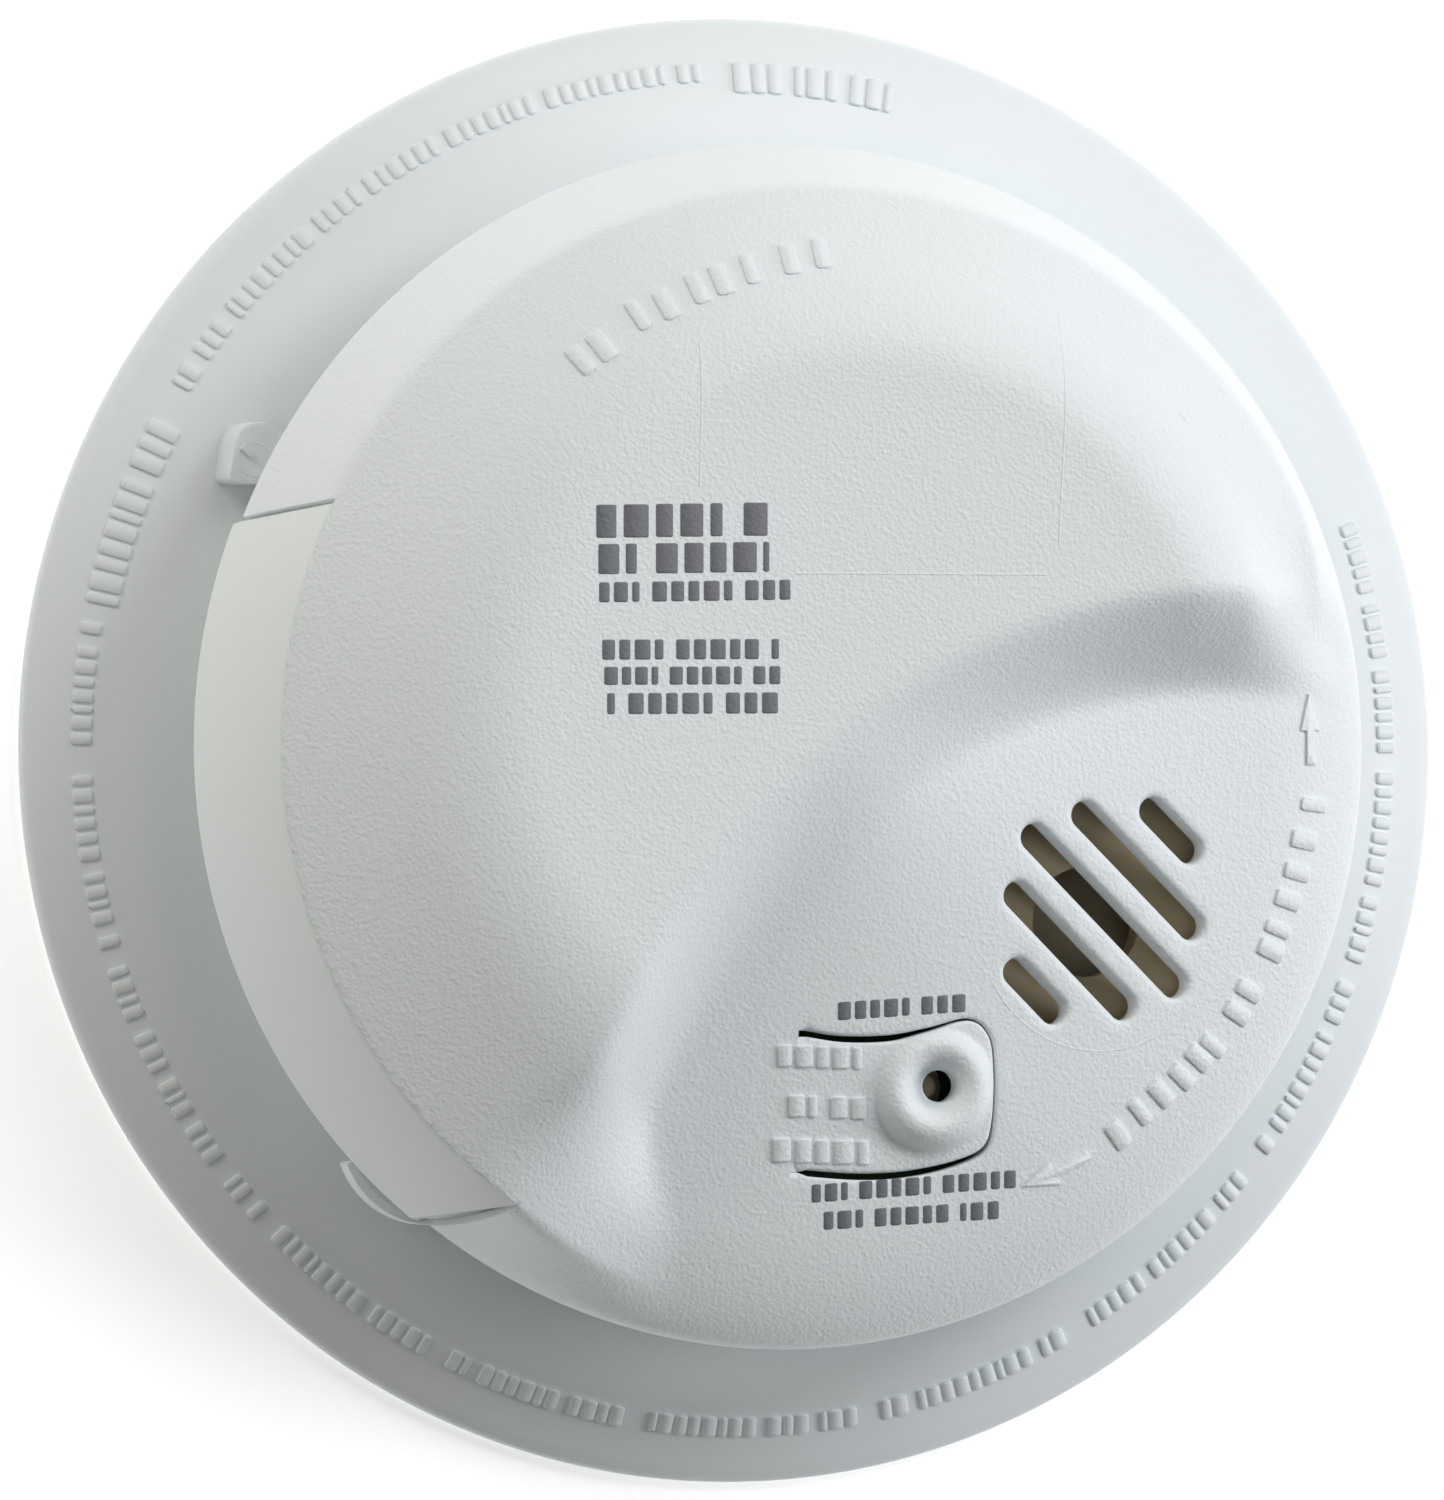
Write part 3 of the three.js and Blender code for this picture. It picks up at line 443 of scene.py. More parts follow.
def offset(loop, distance):
    """A closed loop moved sideways, to its left when the distance is positive."""
    loop = np.asarray(loop, float)
    along = np.roll(loop, -1, 0) - np.roll(loop, 1, 0)
    along /= np.linalg.norm(along, axis=1)[:, None] + 1e-12
    return loop + np.column_stack((-along[:, 1], along[:, 0])) * distance


def slab(loop, low, high, edge):
    """A flat plate of that outline, anticlockwise, with softened edges."""
    rows = []
    side = (
        (edge, low), (0, low + edge), (0, high - edge),
        (edge * 0.3, high - edge * 0.3), (edge, high), (edge + 0.15, high),
    )
    for inset, z in side:
        rows.append(np.column_stack((offset(loop, inset), np.full(len(loop), z))))
    return swept(rows, False)


def densified(loop, spacing):
    """The loop with points added so that none are further apart than the spacing."""
    loop = np.asarray(loop, float)
    made = []
    for a, b in zip(loop, np.roll(loop, -1, 0)):
        count = max(1, math.ceil(np.linalg.norm(b - a) / spacing))
        made += [a + (b - a) * k / count for k in range(count)]
    return np.array(made)


def distance_to(points, path, closed=True):
    """Distance in plan from each point to a path."""
    path = np.asarray(path, float)
    ends = np.roll(path, -1, 0) if closed else path[1:]
    starts = path if closed else path[:-1]
    best = np.full(len(points), 1e9)
    for a, b in zip(starts, ends):
        ab = b - a
        t = np.clip(((points - a) @ ab) / max(ab @ ab, 1e-12), 0, 1)
        best = np.minimum(best, np.linalg.norm(points - a - t[:, None] * ab, axis=1))
    return best


def inside(points, loop):
    """Whether each point is inside a closed loop."""
    x, y = points[:, 0], points[:, 1]
    odd = np.zeros(len(points), bool)
    for (ax, ay), (bx, by) in zip(loop, np.roll(loop, -1, 0)):
        if ay == by:
            continue
        crosses = ((ay > y) != (by > y)) & (x < (bx - ax) * (y - ay) / (by - ay) + ax)
        odd ^= crosses
    return odd


def edge_share(points, edges):
    """The distance from each point to the nearest edge, as a share of that edge's radius."""
    shares = [distance_to(points, path, closed) / radius for path, closed, radius in edges]
    return np.min(shares, axis=0)


def skin(outline, holes, edges, samples, surface, under):
    """A closed shell over a plan outline; edges are (path, closed, radius), rounded over."""
    loops = [np.asarray(outline)] + [np.asarray(h) for h in holes]
    extra = []
    for path, closed, radius in edges:
        for share in (0.12, 0.32, 0.6, 1.0):
            for side in (-1, 1):
                beside_it = offset(path, side * share * radius)
                extra.append(beside_it if closed else beside_it[1:-1])
    fixed = np.vstack(loops)
    near = np.vstack(extra)
    near = near[edge_share(near, edges) > 0.1]
    samples = samples[edge_share(samples, edges) > 1.25]
    free = np.vstack((near, samples))
    keep = inside(free, loops[0]) & (distance_to(free, loops[0]) > 0.03)
    for hole in loops[1:]:
        keep &= ~inside(free, hole) & (distance_to(free, hole) > 0.03)
    free = free[keep]
    lines, start = [], 0
    for loop in loops:
        lines += [(start + k, start + (k + 1) % len(loop)) for k in range(len(loop))]
        start += len(loop)
    plan = [Vector(p) for p in np.vstack((fixed, free))]
    points, _, triangles, *_ = geometry.delaunay_2d_cdt(plan, lines, [], 0, 1e-6)
    points = np.array([(p.x, p.y) for p in points])
    middles = np.array([points[list(t)].mean(0) for t in triangles])
    kept = inside(middles, loops[0])
    for hole in loops[1:]:
        kept &= ~inside(middles, hole)
    triangles = [tuple(t) for t, k in zip(triangles, kept) if k]
    drop = np.zeros(len(points))
    for path, closed, radius in edges:
        gap = np.clip(radius - distance_to(points, path, closed), 0, radius)
        drop = np.maximum(drop, radius - np.sqrt(np.maximum(radius ** 2 - gap ** 2, 0)))
    top = np.column_stack((points, surface(points) - drop))
    bottom = under(top)
    size = len(points)
    faces = triangles + [tuple(size + i for i in t[::-1]) for t in triangles]
    seen = {(t[i], t[(i + 1) % 3]) for t in triangles for i in range(3)}
    faces += [(b, a, size + a, size + b) for a, b in sorted(seen) if (b, a) not in seen]
    return np.vstack((top, bottom)), faces


def rings(radii, spacing, centre=(0, 0)):
    """Plan points on circles, evenly spaced, with every other circle turned by half a step."""
    points = []
    for k, r in enumerate(radii):
        count = max(6, int(2 * math.pi * r / spacing))
        angles = (np.arange(count) + 0.5 * (k % 2)) * 2 * math.pi / count
        x, y = centre[0] + r * np.cos(angles), centre[1] + r * np.sin(angles)
        points.append(np.column_stack((x, y)))
    return np.vstack(points)


def bar(start, end, width, height, surface, corner=0.3, edge=0.08):
    """A low raised bar that follows a surface from one plan point to another."""
    start, end = np.asarray(start, float), np.asarray(end, float)
    length = np.linalg.norm(end - start)
    along = (end - start) / length
    across = np.array([-along[1], along[0]])
    corner = min(corner, width / 2, length / 2)
    inner = max(2, int(length / 0.9) + 1)
    ends = (*np.linspace(0, corner, 4), *np.linspace(length - corner, length, 4))
    stations = sorted({*ends, *np.linspace(corner, length - corner, inner)})
    rows = []
    for s in stations:
        end_gap = max(0.0, corner - min(s, length - s))
        half = width / 2 - corner + math.sqrt(max(corner ** 2 - end_gap ** 2, 0)) + 0.01
        lift = height - (edge if min(s, length - s) < 0.01 else 0)
        side = 1 - edge / half
        profile = (
            (-1, -SINK), (-1, lift - edge), (-side, lift),
            (side, lift), (1, lift - edge), (1, -SINK),
        )
        rows.append([(*(start + along * s + across * half * v), up) for v, up in profile])
    rows = np.array(rows)
    flat = rows.reshape(-1, 3)
    flat[:, 2] += surface(flat[:, :2])
    return swept(rows, False)


def raised_outline(loop, height, surface):
    """A low raised shape of that outline that follows a surface."""
    edge = 0.1
    rows = []
    for inset, up in ((0, -SINK), (0, height - edge), (edge, height)):
        plan = offset(loop, inset)
        rows.append(np.column_stack((plan, surface(plan) + up)))
    return swept(rows, False)


# The cover's surface --------------------------------------------------------------------------

def smooth_min(a, b, width):
    """The lower of two heights, blended where they are closer than the width."""
    h = np.clip(0.5 + 0.5 * (b - a) / width, 0, 1)
    return b + (a - b) * h - width * h * (1 - h)


def smooth_step(s):
    s = np.clip(s, 0, 1)
    return s * s * (3 - 2 * s)


def cover_height(points):
    """The top of the cover: a domed plateau, the scoop, and the step between them."""
    x, y = points[:, 0], points[:, 1]
    r = np.hypot(x, y)
    towards = np.cos(np.arctan2(y, x) - math.pi / 4)
    flat = CROWN_FLAT[0] + CROWN_FLAT[1] * towards
    cone = CROWN_CONE[0] + CROWN_CONE[1] * towards
    slope = (COVER_TOP - SHOULDER_HEIGHT) / (SHOULDER_RADIUS - (flat + cone) / 2)
    curved = np.clip(r - flat, 0, cone - flat)
    fallen = slope * (curved ** 2 / (2 * (cone - flat)) + np.maximum(0, r - cone))
    crown = COVER_TOP - PRINT_ROOM - fallen
    wall = RIM_HEIGHT + (RIM_RADIUS - r) * WALL_SLOPE
    plateau = smooth_min(crown, wall, WALL_BLEND)
    roll = np.clip((r - ROLL_START) / (RIM_RADIUS - ROLL_START), 0, 1)
    fall = SCOOP_LEVEL - SCOOP_FALL * RIM_RADIUS - RIM_HEIGHT
    rolled = fall * (1 - np.sqrt(np.maximum(0, 1 - roll ** 2)))
    scoop = SCOOP_LEVEL - SCOOP_FALL * r - rolled
    within = SCOOP_RADIUS - np.hypot(x - SCOOP_CENTRE[0], y - SCOOP_CENTRE[1])
    right = x > 0
    lost = np.where(right, smooth_step((r - CORNER_START) / FADE_LENGTH), 0)
    plateau = plateau - (plateau - scoop) * lost * np.exp(-(within / CORNER_SIZE) ** 2)
    widened = STEP_WIDENED * smooth_step((r - WIDENING_START) / FADE_LENGTH)
    half_width = STEP_HALF_WIDTH + np.where(right, 0, widened)
    s = smooth_step((within + half_width) / (2 * half_width))
    return plateau * (1 - s) + scoop * s


def cover_under(top):
    """The cover's inner face: set in along the wall near the rim, straight down elsewhere."""
    r = np.hypot(top[:, 0], top[:, 1])
    lean = smooth_step((r - 45) / 9)
    k = 1 - COVER_WALL * lean / np.maximum(r, 1)
    z = np.maximum(top[:, 2] - COVER_WALL * (1 - 0.5 * lean), RIM_UNDERSIDE)
    bearing = np.degrees(np.arctan2(top[:, 1], top[:, 0])) % 360
    over_drawer = (r > 46.5) & (r < DOOR_TOP_RADIUS) & (bearing > 150) & (bearing < 240)
    above_door = np.maximum(z, DOOR_TOP + 0.25)
    z = np.where(over_drawer, np.minimum(above_door, top[:, 2] - 0.2), z)
    return np.column_stack((top[:, 0] * k, top[:, 1] * k, z))


def spline(knots, count):
    """A smooth path through the knots."""
    knots = np.asarray(knots, float)
    padded = np.vstack((2 * knots[0] - knots[1], knots, 2 * knots[-1] - knots[-2]))
    path = []
    for s in np.linspace(0, len(knots) - 1, count):
        i = min(int(s), len(knots) - 2)
        t = s - i
        a, b, c, d = padded[i:i + 4]
        square, cube = 2 * a - 5 * b + 4 * c - d, 3 * b - a - 3 * c + d
        path.append(0.5 * (2 * b + (c - a) * t + square * t * t + cube * t ** 3))
    return np.array(path)


def beside(path, widths):
    """An open path moved to its left, by a width of its own at each point."""
    along = np.gradient(path, axis=0)
    along /= np.linalg.norm(along, axis=1)[:, None]
    return path + np.column_stack((-along[:, 1], along[:, 0])) * np.asarray(widths)[:, None]


def slit_sides():
    """The two sides of the slit round the button, wide at its ends and fine on the right."""
    middle = spline(SLIT_KNOTS, 200)
    s = np.linspace(0, 1, 200)
    share, inward, outward = zip(*SLIT_WIDTHS)
    inner = np.interp(s, share, inward)
    outer = np.interp(s, share, outward)
    return beside(middle, outer), beside(middle, -inner)


def slot_loops():
    loops = []
    for i, length in enumerate(SLOT_LENGTHS):
        across = (i - 2) * SLOT_PITCH
        cx = SLOT_CENTRE[0] - math.sin(SLOT_TURN) * across
        cy = SLOT_CENTRE[1] + math.cos(SLOT_TURN) * across
        loop = []
        for end, first in ((1, -90), (-1, 90)):
            for a in np.radians(np.linspace(first, first + 180, 15)):
                u = end * length / 2 + SLOT_WIDTH / 2 * math.cos(a)
                v = SLOT_WIDTH / 2 * math.sin(a)
                loop.append((cx + u * math.cos(SLOT_TURN) - v * math.sin(SLOT_TURN),
                             cy + u * math.sin(SLOT_TURN) + v * math.cos(SLOT_TURN)))
        loops.append(densified(loop, 0.6))
    return loops


def drawer_end(radius, reach, far):
    """The angle at which a circle about the drawer's hinge crosses a radius, at either end."""
    away = math.hypot(*HINGE)
    swing = math.degrees(math.acos((radius ** 2 + away ** 2 - reach ** 2) / (2 * radius * away)))
    hinge_angle = math.degrees(math.atan2(HINGE[1], HINGE[0])) % 360
    return hinge_angle - swing if far else hinge_angle + swing


def cover_outline():
    """The cover's outline, the edge of its opening for the drawer, and the rim as a path."""
    inner, outer = OPENING_RADIUS, RIM_RADIUS
    near_reach, far_reach = OPENING_REACH
    far = [polar(r, drawer_end(r, far_reach, True)) for r in np.linspace(outer, inner, 12)]
    near = [polar(r, drawer_end(r, near_reach, False)) for r in np.linspace(inner, outer, 12)]
    back_start, back_end = drawer_end(inner, far_reach, True), drawer_end(inner, near_reach, False)
    back = np.linspace(back_start, back_end, 120)[1:-1]
    edge = far + [polar(inner, a) for a in back] + near
    rim_start = drawer_end(outer, near_reach, False)
    rim_end = drawer_end(outer, far_reach, True) + 360
    rim = [polar(outer, a) for a in np.linspace(rim_start, rim_end, 420)[1:-1]]
    return np.array(edge + rim), np.array(edge), np.array([edge[-1], *rim, edge[0]])


def make_cover():
    outline, opening, rim = cover_outline()
    outer, _ = slit_sides()
    button_hole = np.vstack(([FLAP_LEFT, outer[0][1]], outer, [FLAP_LEFT, outer[-1][1]]))
    slots = slot_loops()
    edges = [(loop, True, SLOT_EDGE) for loop in slots]
    edges += [(outer, False, SLIT_EDGE), (opening, False, OPENING_EDGE), (rim, False, RIM_EDGE)]
    samples = np.vstack((
        rings(np.arange(1, 46, 1.0), 1.0), rings(np.arange(46, 52, 0.75), 0.9),
        rings(np.arange(52, 58.2, 0.3), 0.9),
    ))
    shape = skin(outline, [*slots, button_hole], edges, samples, cover_height, cover_under)
    bosses = []
    for place in SCREW_PLACES:
        centre = polar(*place)
        high = float(cover_height(np.array([centre]))[0]) - 1.9
        bosses.append(round_bar(3, 14.9, high, centre, hole=1.55))
    cover = piece("cover_shell", joined(shape, *bosses), "alarm", HOUSING)
    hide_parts("front_cover")


# The test button ------------------------------------------------------------------------------

# The ring pad's section: distance from its centre, and height over the cover there.
PAD_PROFILE = (
    (1.3, -1.4), (1.6, -0.95), (2.0, 0.1), (2.5, 0.95), (3.0, 1.5), (3.6, 1.83), (4.1, 1.9),
    (4.6, 1.78), (5.1, 1.45), (5.5, 0.95), (5.9, 0.1), (6.2, -0.8), (7.0, -4),
)


def button_height(points):
    """The top of the flap: the cover's own surface with the ring pad and its funnel."""
    base = cover_height(points)
    rho = np.hypot(points[:, 0] - PAD_CENTRE[0], points[:, 1] - PAD_CENTRE[1])
    knots = spline(PAD_PROFILE, 120)
    level = float(cover_height(np.array([PAD_CENTRE]))[0])
    pad = level + np.interp(rho, knots[:, 0], knots[:, 1])
    whole = -smooth_min(-base, -pad, 0.7)
    funnel = np.clip((3.4 - rho) / 0.8, 0, 1)
    return whole * (1 - funnel) + pad * funnel


def button_under(top):
    z = cover_height(top[:, :2]) - COVER_WALL
    return np.column_stack((top[:, :2], np.minimum(z, top[:, 2] - 0.4)))


def bends_at_its_root(made):
    """Bakes the piece's transform into its mesh. The flap's living hinge, fixed to the cover at its
    left edge and free 3 mm on, is not modelled.
    """
    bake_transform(made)


def make_button():
    _, inner = slit_sides()
    outline = np.vstack(([FLAP_LEFT, inner[-1][1]], inner[::-1], [FLAP_LEFT, inner[0][1]]))
    hole = rings([LAMP_HOLE_RADIUS], 0.3, LAMP_HOLE_CENTRE)
    samples = np.vstack((
        rings(np.arange(1.9, 6.9, 0.25), 0.4, PAD_CENTRE),
        rings(np.arange(7.2, 24, 0.7), 0.7, PAD_CENTRE),
    ))
    edges = [(inner, False, SLIT_EDGE), (hole, True, LAMP_HOLE_EDGE)]
    shape = skin(outline, [hole], edges, samples, button_height, button_under)
    high = float(cover_height(np.array([POST_CENTRE]))[0]) - 1
    post = round_bar(1.6, 19.9, high, POST_CENTRE)
    shape = joined(shape, post)
    flap = piece("button_flap", shape, "test_button", HOUSING, blended=True)
    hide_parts("test_button")
    bends_at_its_root(flap)


# The base, its flange and neck ----------------------------------------------------------------

# The flange's top: radius and height, from the neck out to its rim.
FLANGE_TOP = ((54, 6.5), (60, 6.0), (63.5, 5.1), (66.7, 3.9), (70, 2.5), (71, 1.6))
FLOOR_LEVEL = 8.2
FLOOR_UNDERSIDE = 6.2
BOSS_TOP = 11.6
NECK_MIDDLE = 53


def flat_at(height):
    """A flat surface at that height."""
    return lambda points: np.full(len(points), height)


def flange_height(points):
    r = np.hypot(points[:, 0], points[:, 1])
    return np.interp(r, *zip(*FLANGE_TOP))


def drawer_outline(test, centre, steps=240):
    """The boundary of a region round a centre, found along rays by what the test says."""
    loop = []
    for a in np.linspace(0, 2 * math.pi, steps, endpoint=False):
        low, high = 0.0, 90.0
        for _ in range(30):
            middle = (low + high) / 2
            held = test(centre[0] + middle * math.cos(a), centre[1] + middle * math.sin(a))
            low, high = (middle, high) if held else (low, middle)
        loop.append((centre[0] + low * math.cos(a), centre[1] + low * math.sin(a)))
    return np.array(loop)


def from_drawer(points):
    """Plan points in the drawer's axes, u along it and v outwards, in the alarm's."""
    c, s = math.cos(DRAWER_TURN), math.sin(DRAWER_TURN)
    u, v = np.asarray(points, float).T
    return np.column_stack((u * c - v * s, u * s + v * c))


def to_drawer(point):
    """A plan point of the alarm's in the drawer's axes."""
    c, s = math.cos(DRAWER_TURN), math.sin(DRAWER_TURN)
    return point[0] * c + point[1] * s, point[1] * c - point[0] * s


def boss_shape():
    """The boss beside the neck, flat at one end, with a round mark and its key."""
    plan = [
        (-45.6, 28.4), (-48.0, 30.6), (-48.9, 31.2), (-50.2, 31.4),
        (-51.5, 30.9), (-52.2, 29.7), (-53.0, 25.4), (-47.2, 25.2),
    ]
    plan = filleted(plan, 0.9, 4)
    low, high = BOSS_TOP - 0.3, BOSS_TOP + 0.08
    mark = filleted([(1.5, low), (1.72, low), (1.72, high), (1.5, high)], 0.05, 2)
    ring = turned(mark, centre=(-50.4, 27.7), step=12)
    key = bar((-51.6, 29.0), (-50.6, 28.0), 0.65, 0.5, flat_at(BOSS_TOP), corner=0.1)
    return joined(slab(plan, 5, BOSS_TOP, 0.3), ring, key)


def box_section(inner, low, outer, high, edge):
    """A (radius, height) section that is an upright rectangle with rounded corners."""
    return filleted([(inner, low), (outer, low), (outer, high), (inner, high)], edge, 2)


def make_base():
    under = [(69.4, 0.3), (65, 2.6), (57, 4.3), (NECK_INSIDE, 4.3)]
    flange = [(NECK_INSIDE, 6.5), *FLANGE_TOP, (71, 0.3), *under]
    flange = filleted(flange, [0, 0, 2, 2.5, 2, 0.9, 0.7, 0.2, 0.5, 1, 1, 0])
    near = drawer_end(NECK_MIDDLE, OPENING_REACH[0], False)
    far = drawer_end(NECK_MIDDLE, OPENING_REACH[1], True)
    neck = box_section(NECK_INSIDE, 6, NECK_RADIUS, NECK_TOP, 0.3)
    sill = box_section(NECK_INSIDE, 6, NECK_RADIUS, FLOOR_LEVEL, 0.2)
    screws = [rings([3.3], 0.8, polar(*place)) for place in SCREW_PLACES]
    inlet = densified([(-12.4, -10.9), (12.4, -10.9), (12.4, 2.9), (-12.4, 2.9)], 2)
    openings = [*screws, inlet, rings([HINGE_BORE], 0.6, HINGE)]
    floor = skin(
        rings([NECK_INSIDE + 0.4], 1.2), openings, [(loop, True, 0.15) for loop in openings],
        rings(np.arange(3, 52, 3.5), 3.5), flat_at(FLOOR_LEVEL),
        lambda top: np.column_stack((top[:, :2], np.full(len(top), FLOOR_UNDERSIDE))),
    )
    parts = [
        turned(flange), turned(neck, near, far + 360), turned(sill, far, near), floor, boss_shape(),
    ]
    # The guard round the hinge is a lip, held by a widening of the neck's end.
    guard = [(8.05, 16.3), (8.6, 16.3), (8.9, 17.3), (8.9, 19.9), (8.05, 19.9)]
    parts.append(turned(filleted(guard, 0.12, 3), 200, 312, HINGE, 4))
    held = box_section(NECK_INSIDE + 0.1, 6.5, NECK_RADIUS - 0.1, 19.7, 0.1)
    parts.append(turned(held, near - 0.8, near + 1))
    for angle in HOOK_ANGLES:
        stem = box_section(43, 1.4, 45.5, 6.8, 0.2)
        head = box_section(41.4, 0.8, 47.3, 3.1, 0.3)
        parts.append(turned(stem, angle - 2.4, angle + 2.4))
        parts.append(turned(head, angle - 2.6, angle + 2.6))
    for place in SCREW_PLACES:
        post = [(3.3, 6.4), (4, 6.4), (4, 12.7), (1.6, 12.7), (1.6, 8.6), (3.3, 8.6)]
        parts.append(turned(filleted(post, 0.15, 2), centre=polar(*place), step=9))
    base = piece("base_with_flange", joined(*parts), "alarm", SMOOTH)
    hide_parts("base_housing")


# The drawer -----------------------------------------------------------------------------------

def door_sector(section, reach, count=110):
    """A section carried round the alarm between the drawer's ends, kept under the cover."""
    rows = []
    for s in np.linspace(0, 1, count):
        row = []
        for r, z in section:
            near, far = drawer_end(r, reach[0], False), drawer_end(r, reach[1], True)
            place = polar(r, near + (far - near) * s)
            if z > 30:
                z = min(z, float(cover_height(np.array([place]))[0]) - 0.05)
            row.append((*place, z))
        rows.append(row)
    return swept(rows, False)


def make_drawer():
    face = [
        (58.7, 20.4), (59.1, 21.2), (DOOR_TOP_RADIUS, DOOR_TOP), (DOOR_TOP_RADIUS - 1, DOOR_TOP),
        (56.8, 22.2), (52.7, 22.2), (52.7, 20.4),
    ]
    skirt = [(52.4, 8.7), (54, 8.7), (54, 21.2), (52.4, 21.2)]
    hinge_u, hinge_v = to_drawer(HINGE)
    side_low, side_high = DRAWER_SIDE

    def on_floor(u, v):
        reach = math.hypot(u - hinge_u, v - hinge_v)
        ahead = u >= hinge_u and v >= side_low - 0.2
        round_hinge, within = reach < FLOOR_REACH[0], reach < FLOOR_REACH[1]
        return (ahead or round_hinge) and within and math.hypot(u, v) < 53.5

    floor = from_drawer(drawer_outline(on_floor, (-14, 34)))
    side = [(-23.6, side_low), (21.4, side_low), (21.4, side_high), (-23.6, side_high)]
    shape = joined(
        door_sector(filleted(face, [0.4, 0.3, 0.12, 0.1, 0.4, 0.3, 0.3], 3), DOOR_REACH),
        door_sector(filleted(skirt, 0.2, 2), SKIRT_REACH),
        slab(floor, 8.8, 10, 0.2), slab(from_drawer(densified(side, 3)), 9, 20, 0.2),
        round_bar(3, 8.9, 27.1, HINGE, hole=HINGE_BORE),
    )
    drawer = piece("drawer_with_door", shape, "drawer", DOOR)
    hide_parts("battery_drawer")


# Raised and printed marks, plain blocks with no lettering ---------------------------------------

# Widths of the blocks, in turn, and the numbers of blocks in the words on the flange.
BLOCK_WIDTHS = (1.0, 1.25, 0.85, 1.15, 0.6, 1.2, 1.05, 0.9, 1.3, 0.7, 1.1)
WORD_LENGTHS = (6, 4, 8, 3, 5, 9, 7)
# The lines of words on the flange: first and last angle, and the blocks' height.
FLANGE_LINES = (
    (0, 20.5, 1.9), (76, 91, 3.0), (93, 149, 1.9), (151.5, 168, 3.0), (169.5, 181, 1.9),
    (182.5, 197.5, 1.9), (199, 203.5, 1.9), (205, 218, 1.9), (219.5, 224, 1.9),
    (225.5, 242.5, 1.9), (244, 260, 1.9), (262.5, 281, 1.9), (283, 301, 1.9), (303, 322, 1.9),
    (324, 340, 1.9), (342, 358.5, 1.9),
)
FLANGE_WORDS_OUTSIDE = 66.7
FLANGE_WORDS_MIDDLE = 66
LETTER_GAP = 0.4
WORD_GAP = 1.3
# The middles of the raised blocks on the cover, in the view's grid.
COVER_BLOCKS = (
    (576, 364), (597, 350), (633, 319), (661, 308), (692, 292), (716, 283), (744, 272),
    (784, 262), (815, 256), (1112, 1133), (1134, 1110), (1155, 1092), (1176, 1075),
    (1193, 1056), (1207, 1044), (1231, 1011), (1243, 989), (1265, 948), (1272, 927),
    (1282, 898), (1291, 870), (1298, 838), (1308, 803),
)
UPPER_ARROW = (
    (1302, 692), (1313, 729), (1308, 729), (1309, 763), (1300, 763), (1300, 729), (1294, 729),
)
LOWER_ARROW = (
    (1016, 1185), (1043, 1160), (1046, 1167), (1080, 1148), (1085, 1157), (1051, 1176),
    (1054, 1183),
)
# Rows of blocks in the view's grid: left, right, top, bottom, first width, and how far they rise.
FLAP_ROWS = (
    (772, 872, 1044, 1066, 0, -0.03), (783, 868, 1094, 1116, 3, -0.03),
    (767, 882, 1137, 1161, 5, -0.03),
)
PRINTED_ROWS = (
    (592, 770, 508, 541, 0, 0.02), (594, 764, 547, 577, 3, 0.02), (595, 785, 585, 605, 2, 0.02),
    (598, 775, 642, 662, 6, 0.01), (600, 776, 669, 687, 1, 0.01), (603, 776, 695, 716, 4, 0.01),
    (832, 963, 1001, 1019, 5, 0.07), (806, 1010, 1183, 1201, 2, 0.076),
    (818, 995, 1210, 1228, 7, 0.065),
)
RAISED_HEIGHT = 0.3
RAISED_WIDTHS = (1.5, 1.7, 1.25, 1.6)
RAISED_HALF_LENGTH = 1.45
FLANGE_WORDS_HEIGHT = 0.32
FLAP_WORDS_HEIGHT = 0.28
PRINT_HEIGHT = 0.03
MOULD_RING = 13.6
MOULD_LINE_WIDTH = 0.16


def plan_of(px, py, z):
    """The plan point that lies at that height behind a point of the framed view's grid."""
    up = z - GRID_LEVEL
    x = ((px - GRID_CENTRE[0]) / GRID_PER_MM - GRID_LEAN[0] * up) / GRID_SQUEEZE
    return x, (GRID_CENTRE[1] - py) / GRID_PER_MM - GRID_LEAN[1] * up


def on_cover(px, py):
    """The plan point of the cover's surface that is seen at a point of the framed view's grid."""
    x, y = plan_of(px, py, 38)
    for _ in range(6):
        x, y = plan_of(px, py, float(cover_height(np.array([(x, y)]))[0]))
    return np.array((x, y))


def flange_words():
    """Short raised blocks in word-like groups round the flange."""
    lengths = itertools.cycle(WORD_LENGTHS)
    widths = itertools.cycle(BLOCK_WIDTHS)
    blocks, left = [], next(lengths)
    for angle, last, tall in FLANGE_LINES:
        while angle < last - 0.8:
            width = next(widths) * (1.25 if tall > 2 else 1)
            turn = math.degrees(width / FLANGE_WORDS_MIDDLE)
            inner = polar(FLANGE_WORDS_OUTSIDE - tall, angle + turn / 2)
            outer = polar(FLANGE_WORDS_OUTSIDE, angle + turn / 2)
            blocks.append(bar(inner, outer, width, FLANGE_WORDS_HEIGHT, flange_height))
            left -= 1
            gap = LETTER_GAP if left else WORD_GAP
            angle += turn + math.degrees(gap / FLANGE_WORDS_MIDDLE)
            left = left or next(lengths)
    return blocks


def cover_words():
    """Raised blocks that stand upright towards the cover's rim."""
    blocks = []
    for place, width in zip(COVER_BLOCKS, itertools.cycle(RAISED_WIDTHS)):
        centre = on_cover(*place)
        half = centre / np.linalg.norm(centre) * RAISED_HALF_LENGTH
        blocks.append(bar(centre - half, centre + half, width, RAISED_HEIGHT, cover_height))
    return blocks


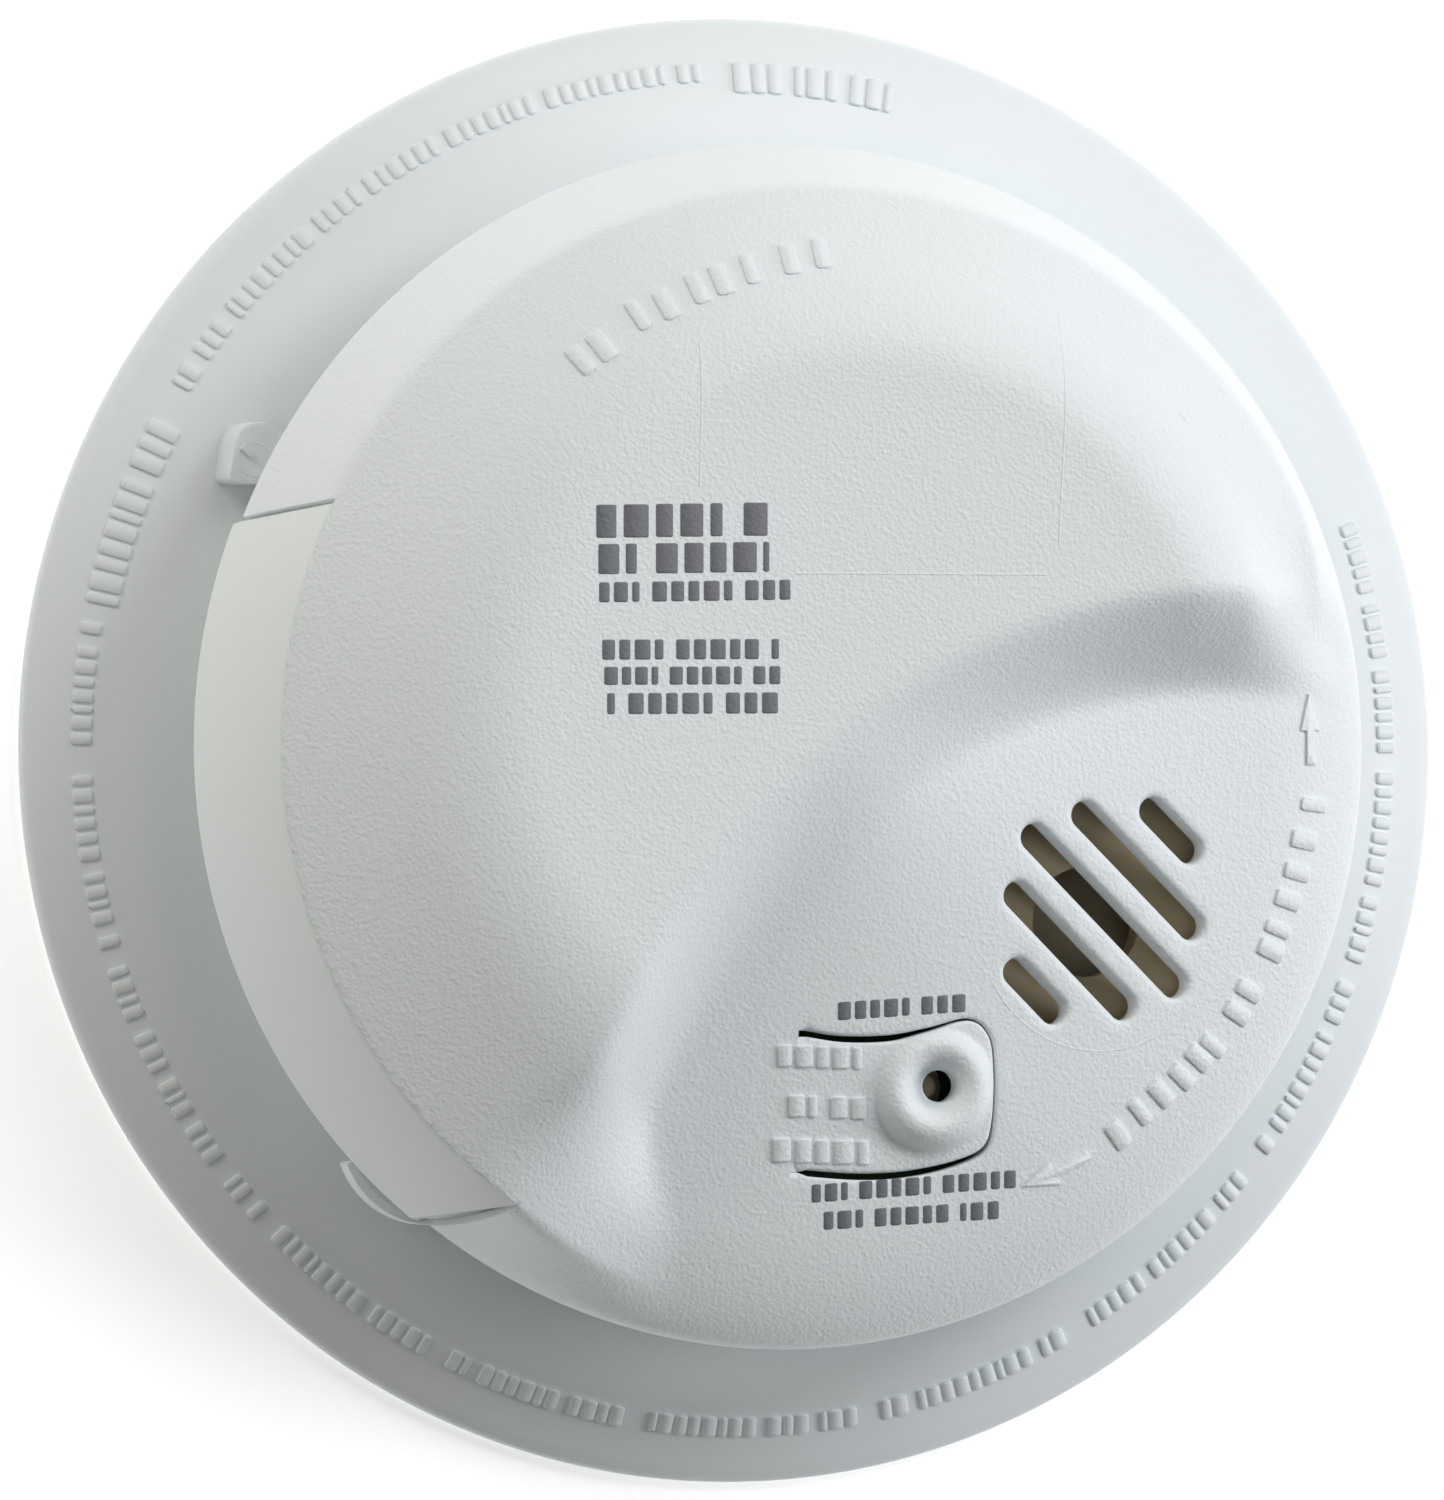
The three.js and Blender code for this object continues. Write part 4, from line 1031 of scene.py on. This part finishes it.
def arrow(points):
    loop = np.array([on_cover(*p) for p in points])
    area = np.sum(loop[:, 0] * np.roll(loop[:, 1], -1) - np.roll(loop[:, 0], -1) * loop[:, 1])
    loop = loop if area > 0 else loop[::-1]
    return raised_outline(densified(loop, 0.4), RAISED_HEIGHT, cover_height)


def row(x0, x1, y0, y1, pattern, rise, height):
    """A line of blocks between two levels of the view's grid, with the gaps of a few words."""
    edge = min(0.06, height * 0.5)
    blocks, x, k = [], x0, pattern
    while x < x1 - 6:
        width = min(x1 - x, BLOCK_WIDTHS[k % len(BLOCK_WIDTHS)] * (y1 - y0) * 0.62)
        middle, shift = x + width / 2, rise * (x - x0)
        low, high = on_cover(middle, y1 - shift), on_cover(middle, y0 - shift)
        plan_width = width / GRID_PER_MM
        blocks.append(bar(low, high, plan_width, height, cover_height, corner=0.2, edge=edge))
        k += 1
        x += width + (y1 - y0) * (0.62 if k % 5 == 0 else 0.2)
    return blocks


def mould_lines():
    """The faint witness lines that the mould leaves on the cover."""
    ends = (((695, 345), (695, 490)), ((1052, 315), (1052, 545)), ((790, 575), (1040, 575)))
    runs = [(on_cover(*start), on_cover(*end), 0.025, 0.012) for start, end in ends]
    for first in range(-150, -40, 10):
        start, end = (np.add(SLOT_CENTRE, polar(MOULD_RING, a)) for a in (first, first + 10.4))
        runs.append((start, end, 0.02, 0.01))
    return [
        bar(start, end, MOULD_LINE_WIDTH, height, cover_height, corner=0.05, edge=edge)
        for start, end, height, edge in runs
    ]


def make_marks():
    raised = [*cover_words(), *mould_lines(), arrow(UPPER_ARROW), arrow(LOWER_ARROW)]
    on_flap = [block for line in FLAP_ROWS for block in row(*line, FLAP_WORDS_HEIGHT)]
    printed = [block for line in PRINTED_ROWS for block in row(*line, PRINT_HEIGHT)]
    body, slot = "alarm", "white_housing"
    piece("raised_marks", joined(*raised), body, HOUSING, sharp=50)
    flap_marks = piece(
        "flap_marks", joined(*on_flap), "test_button", HOUSING, sharp=50, blended=True)
    bends_at_its_root(flap_marks)
    piece("flange_marks", joined(*flange_words()), body, SMOOTH, sharp=50)
    piece("printed_marks", joined(*printed), body, PRINT, sharp=50)


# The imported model's own pieces ----------------------------------------------------------------

def dress_nodes():
    """Gives every kept node its finish and soft edges."""
    slots = {part["node"]: part["material_slot"] for part in frame["record"]["subparts"]}
    for name, node in frame["nodes"].items():
        node.material_slots[0].material = SLOT_MATERIALS[slots[name]]
        edge = node.modifiers.new("soft_edges", "BEVEL")
        edge.width = 0.12 * MM
        edge.segments = 2
        edge.limit_method = "ANGLE"
        edge.angle_limit = math.radians(50)


make_camera()
make_light()
make_floor()
make_cover()
make_button()
make_base()
make_drawer()
make_marks()
dress_nodes()
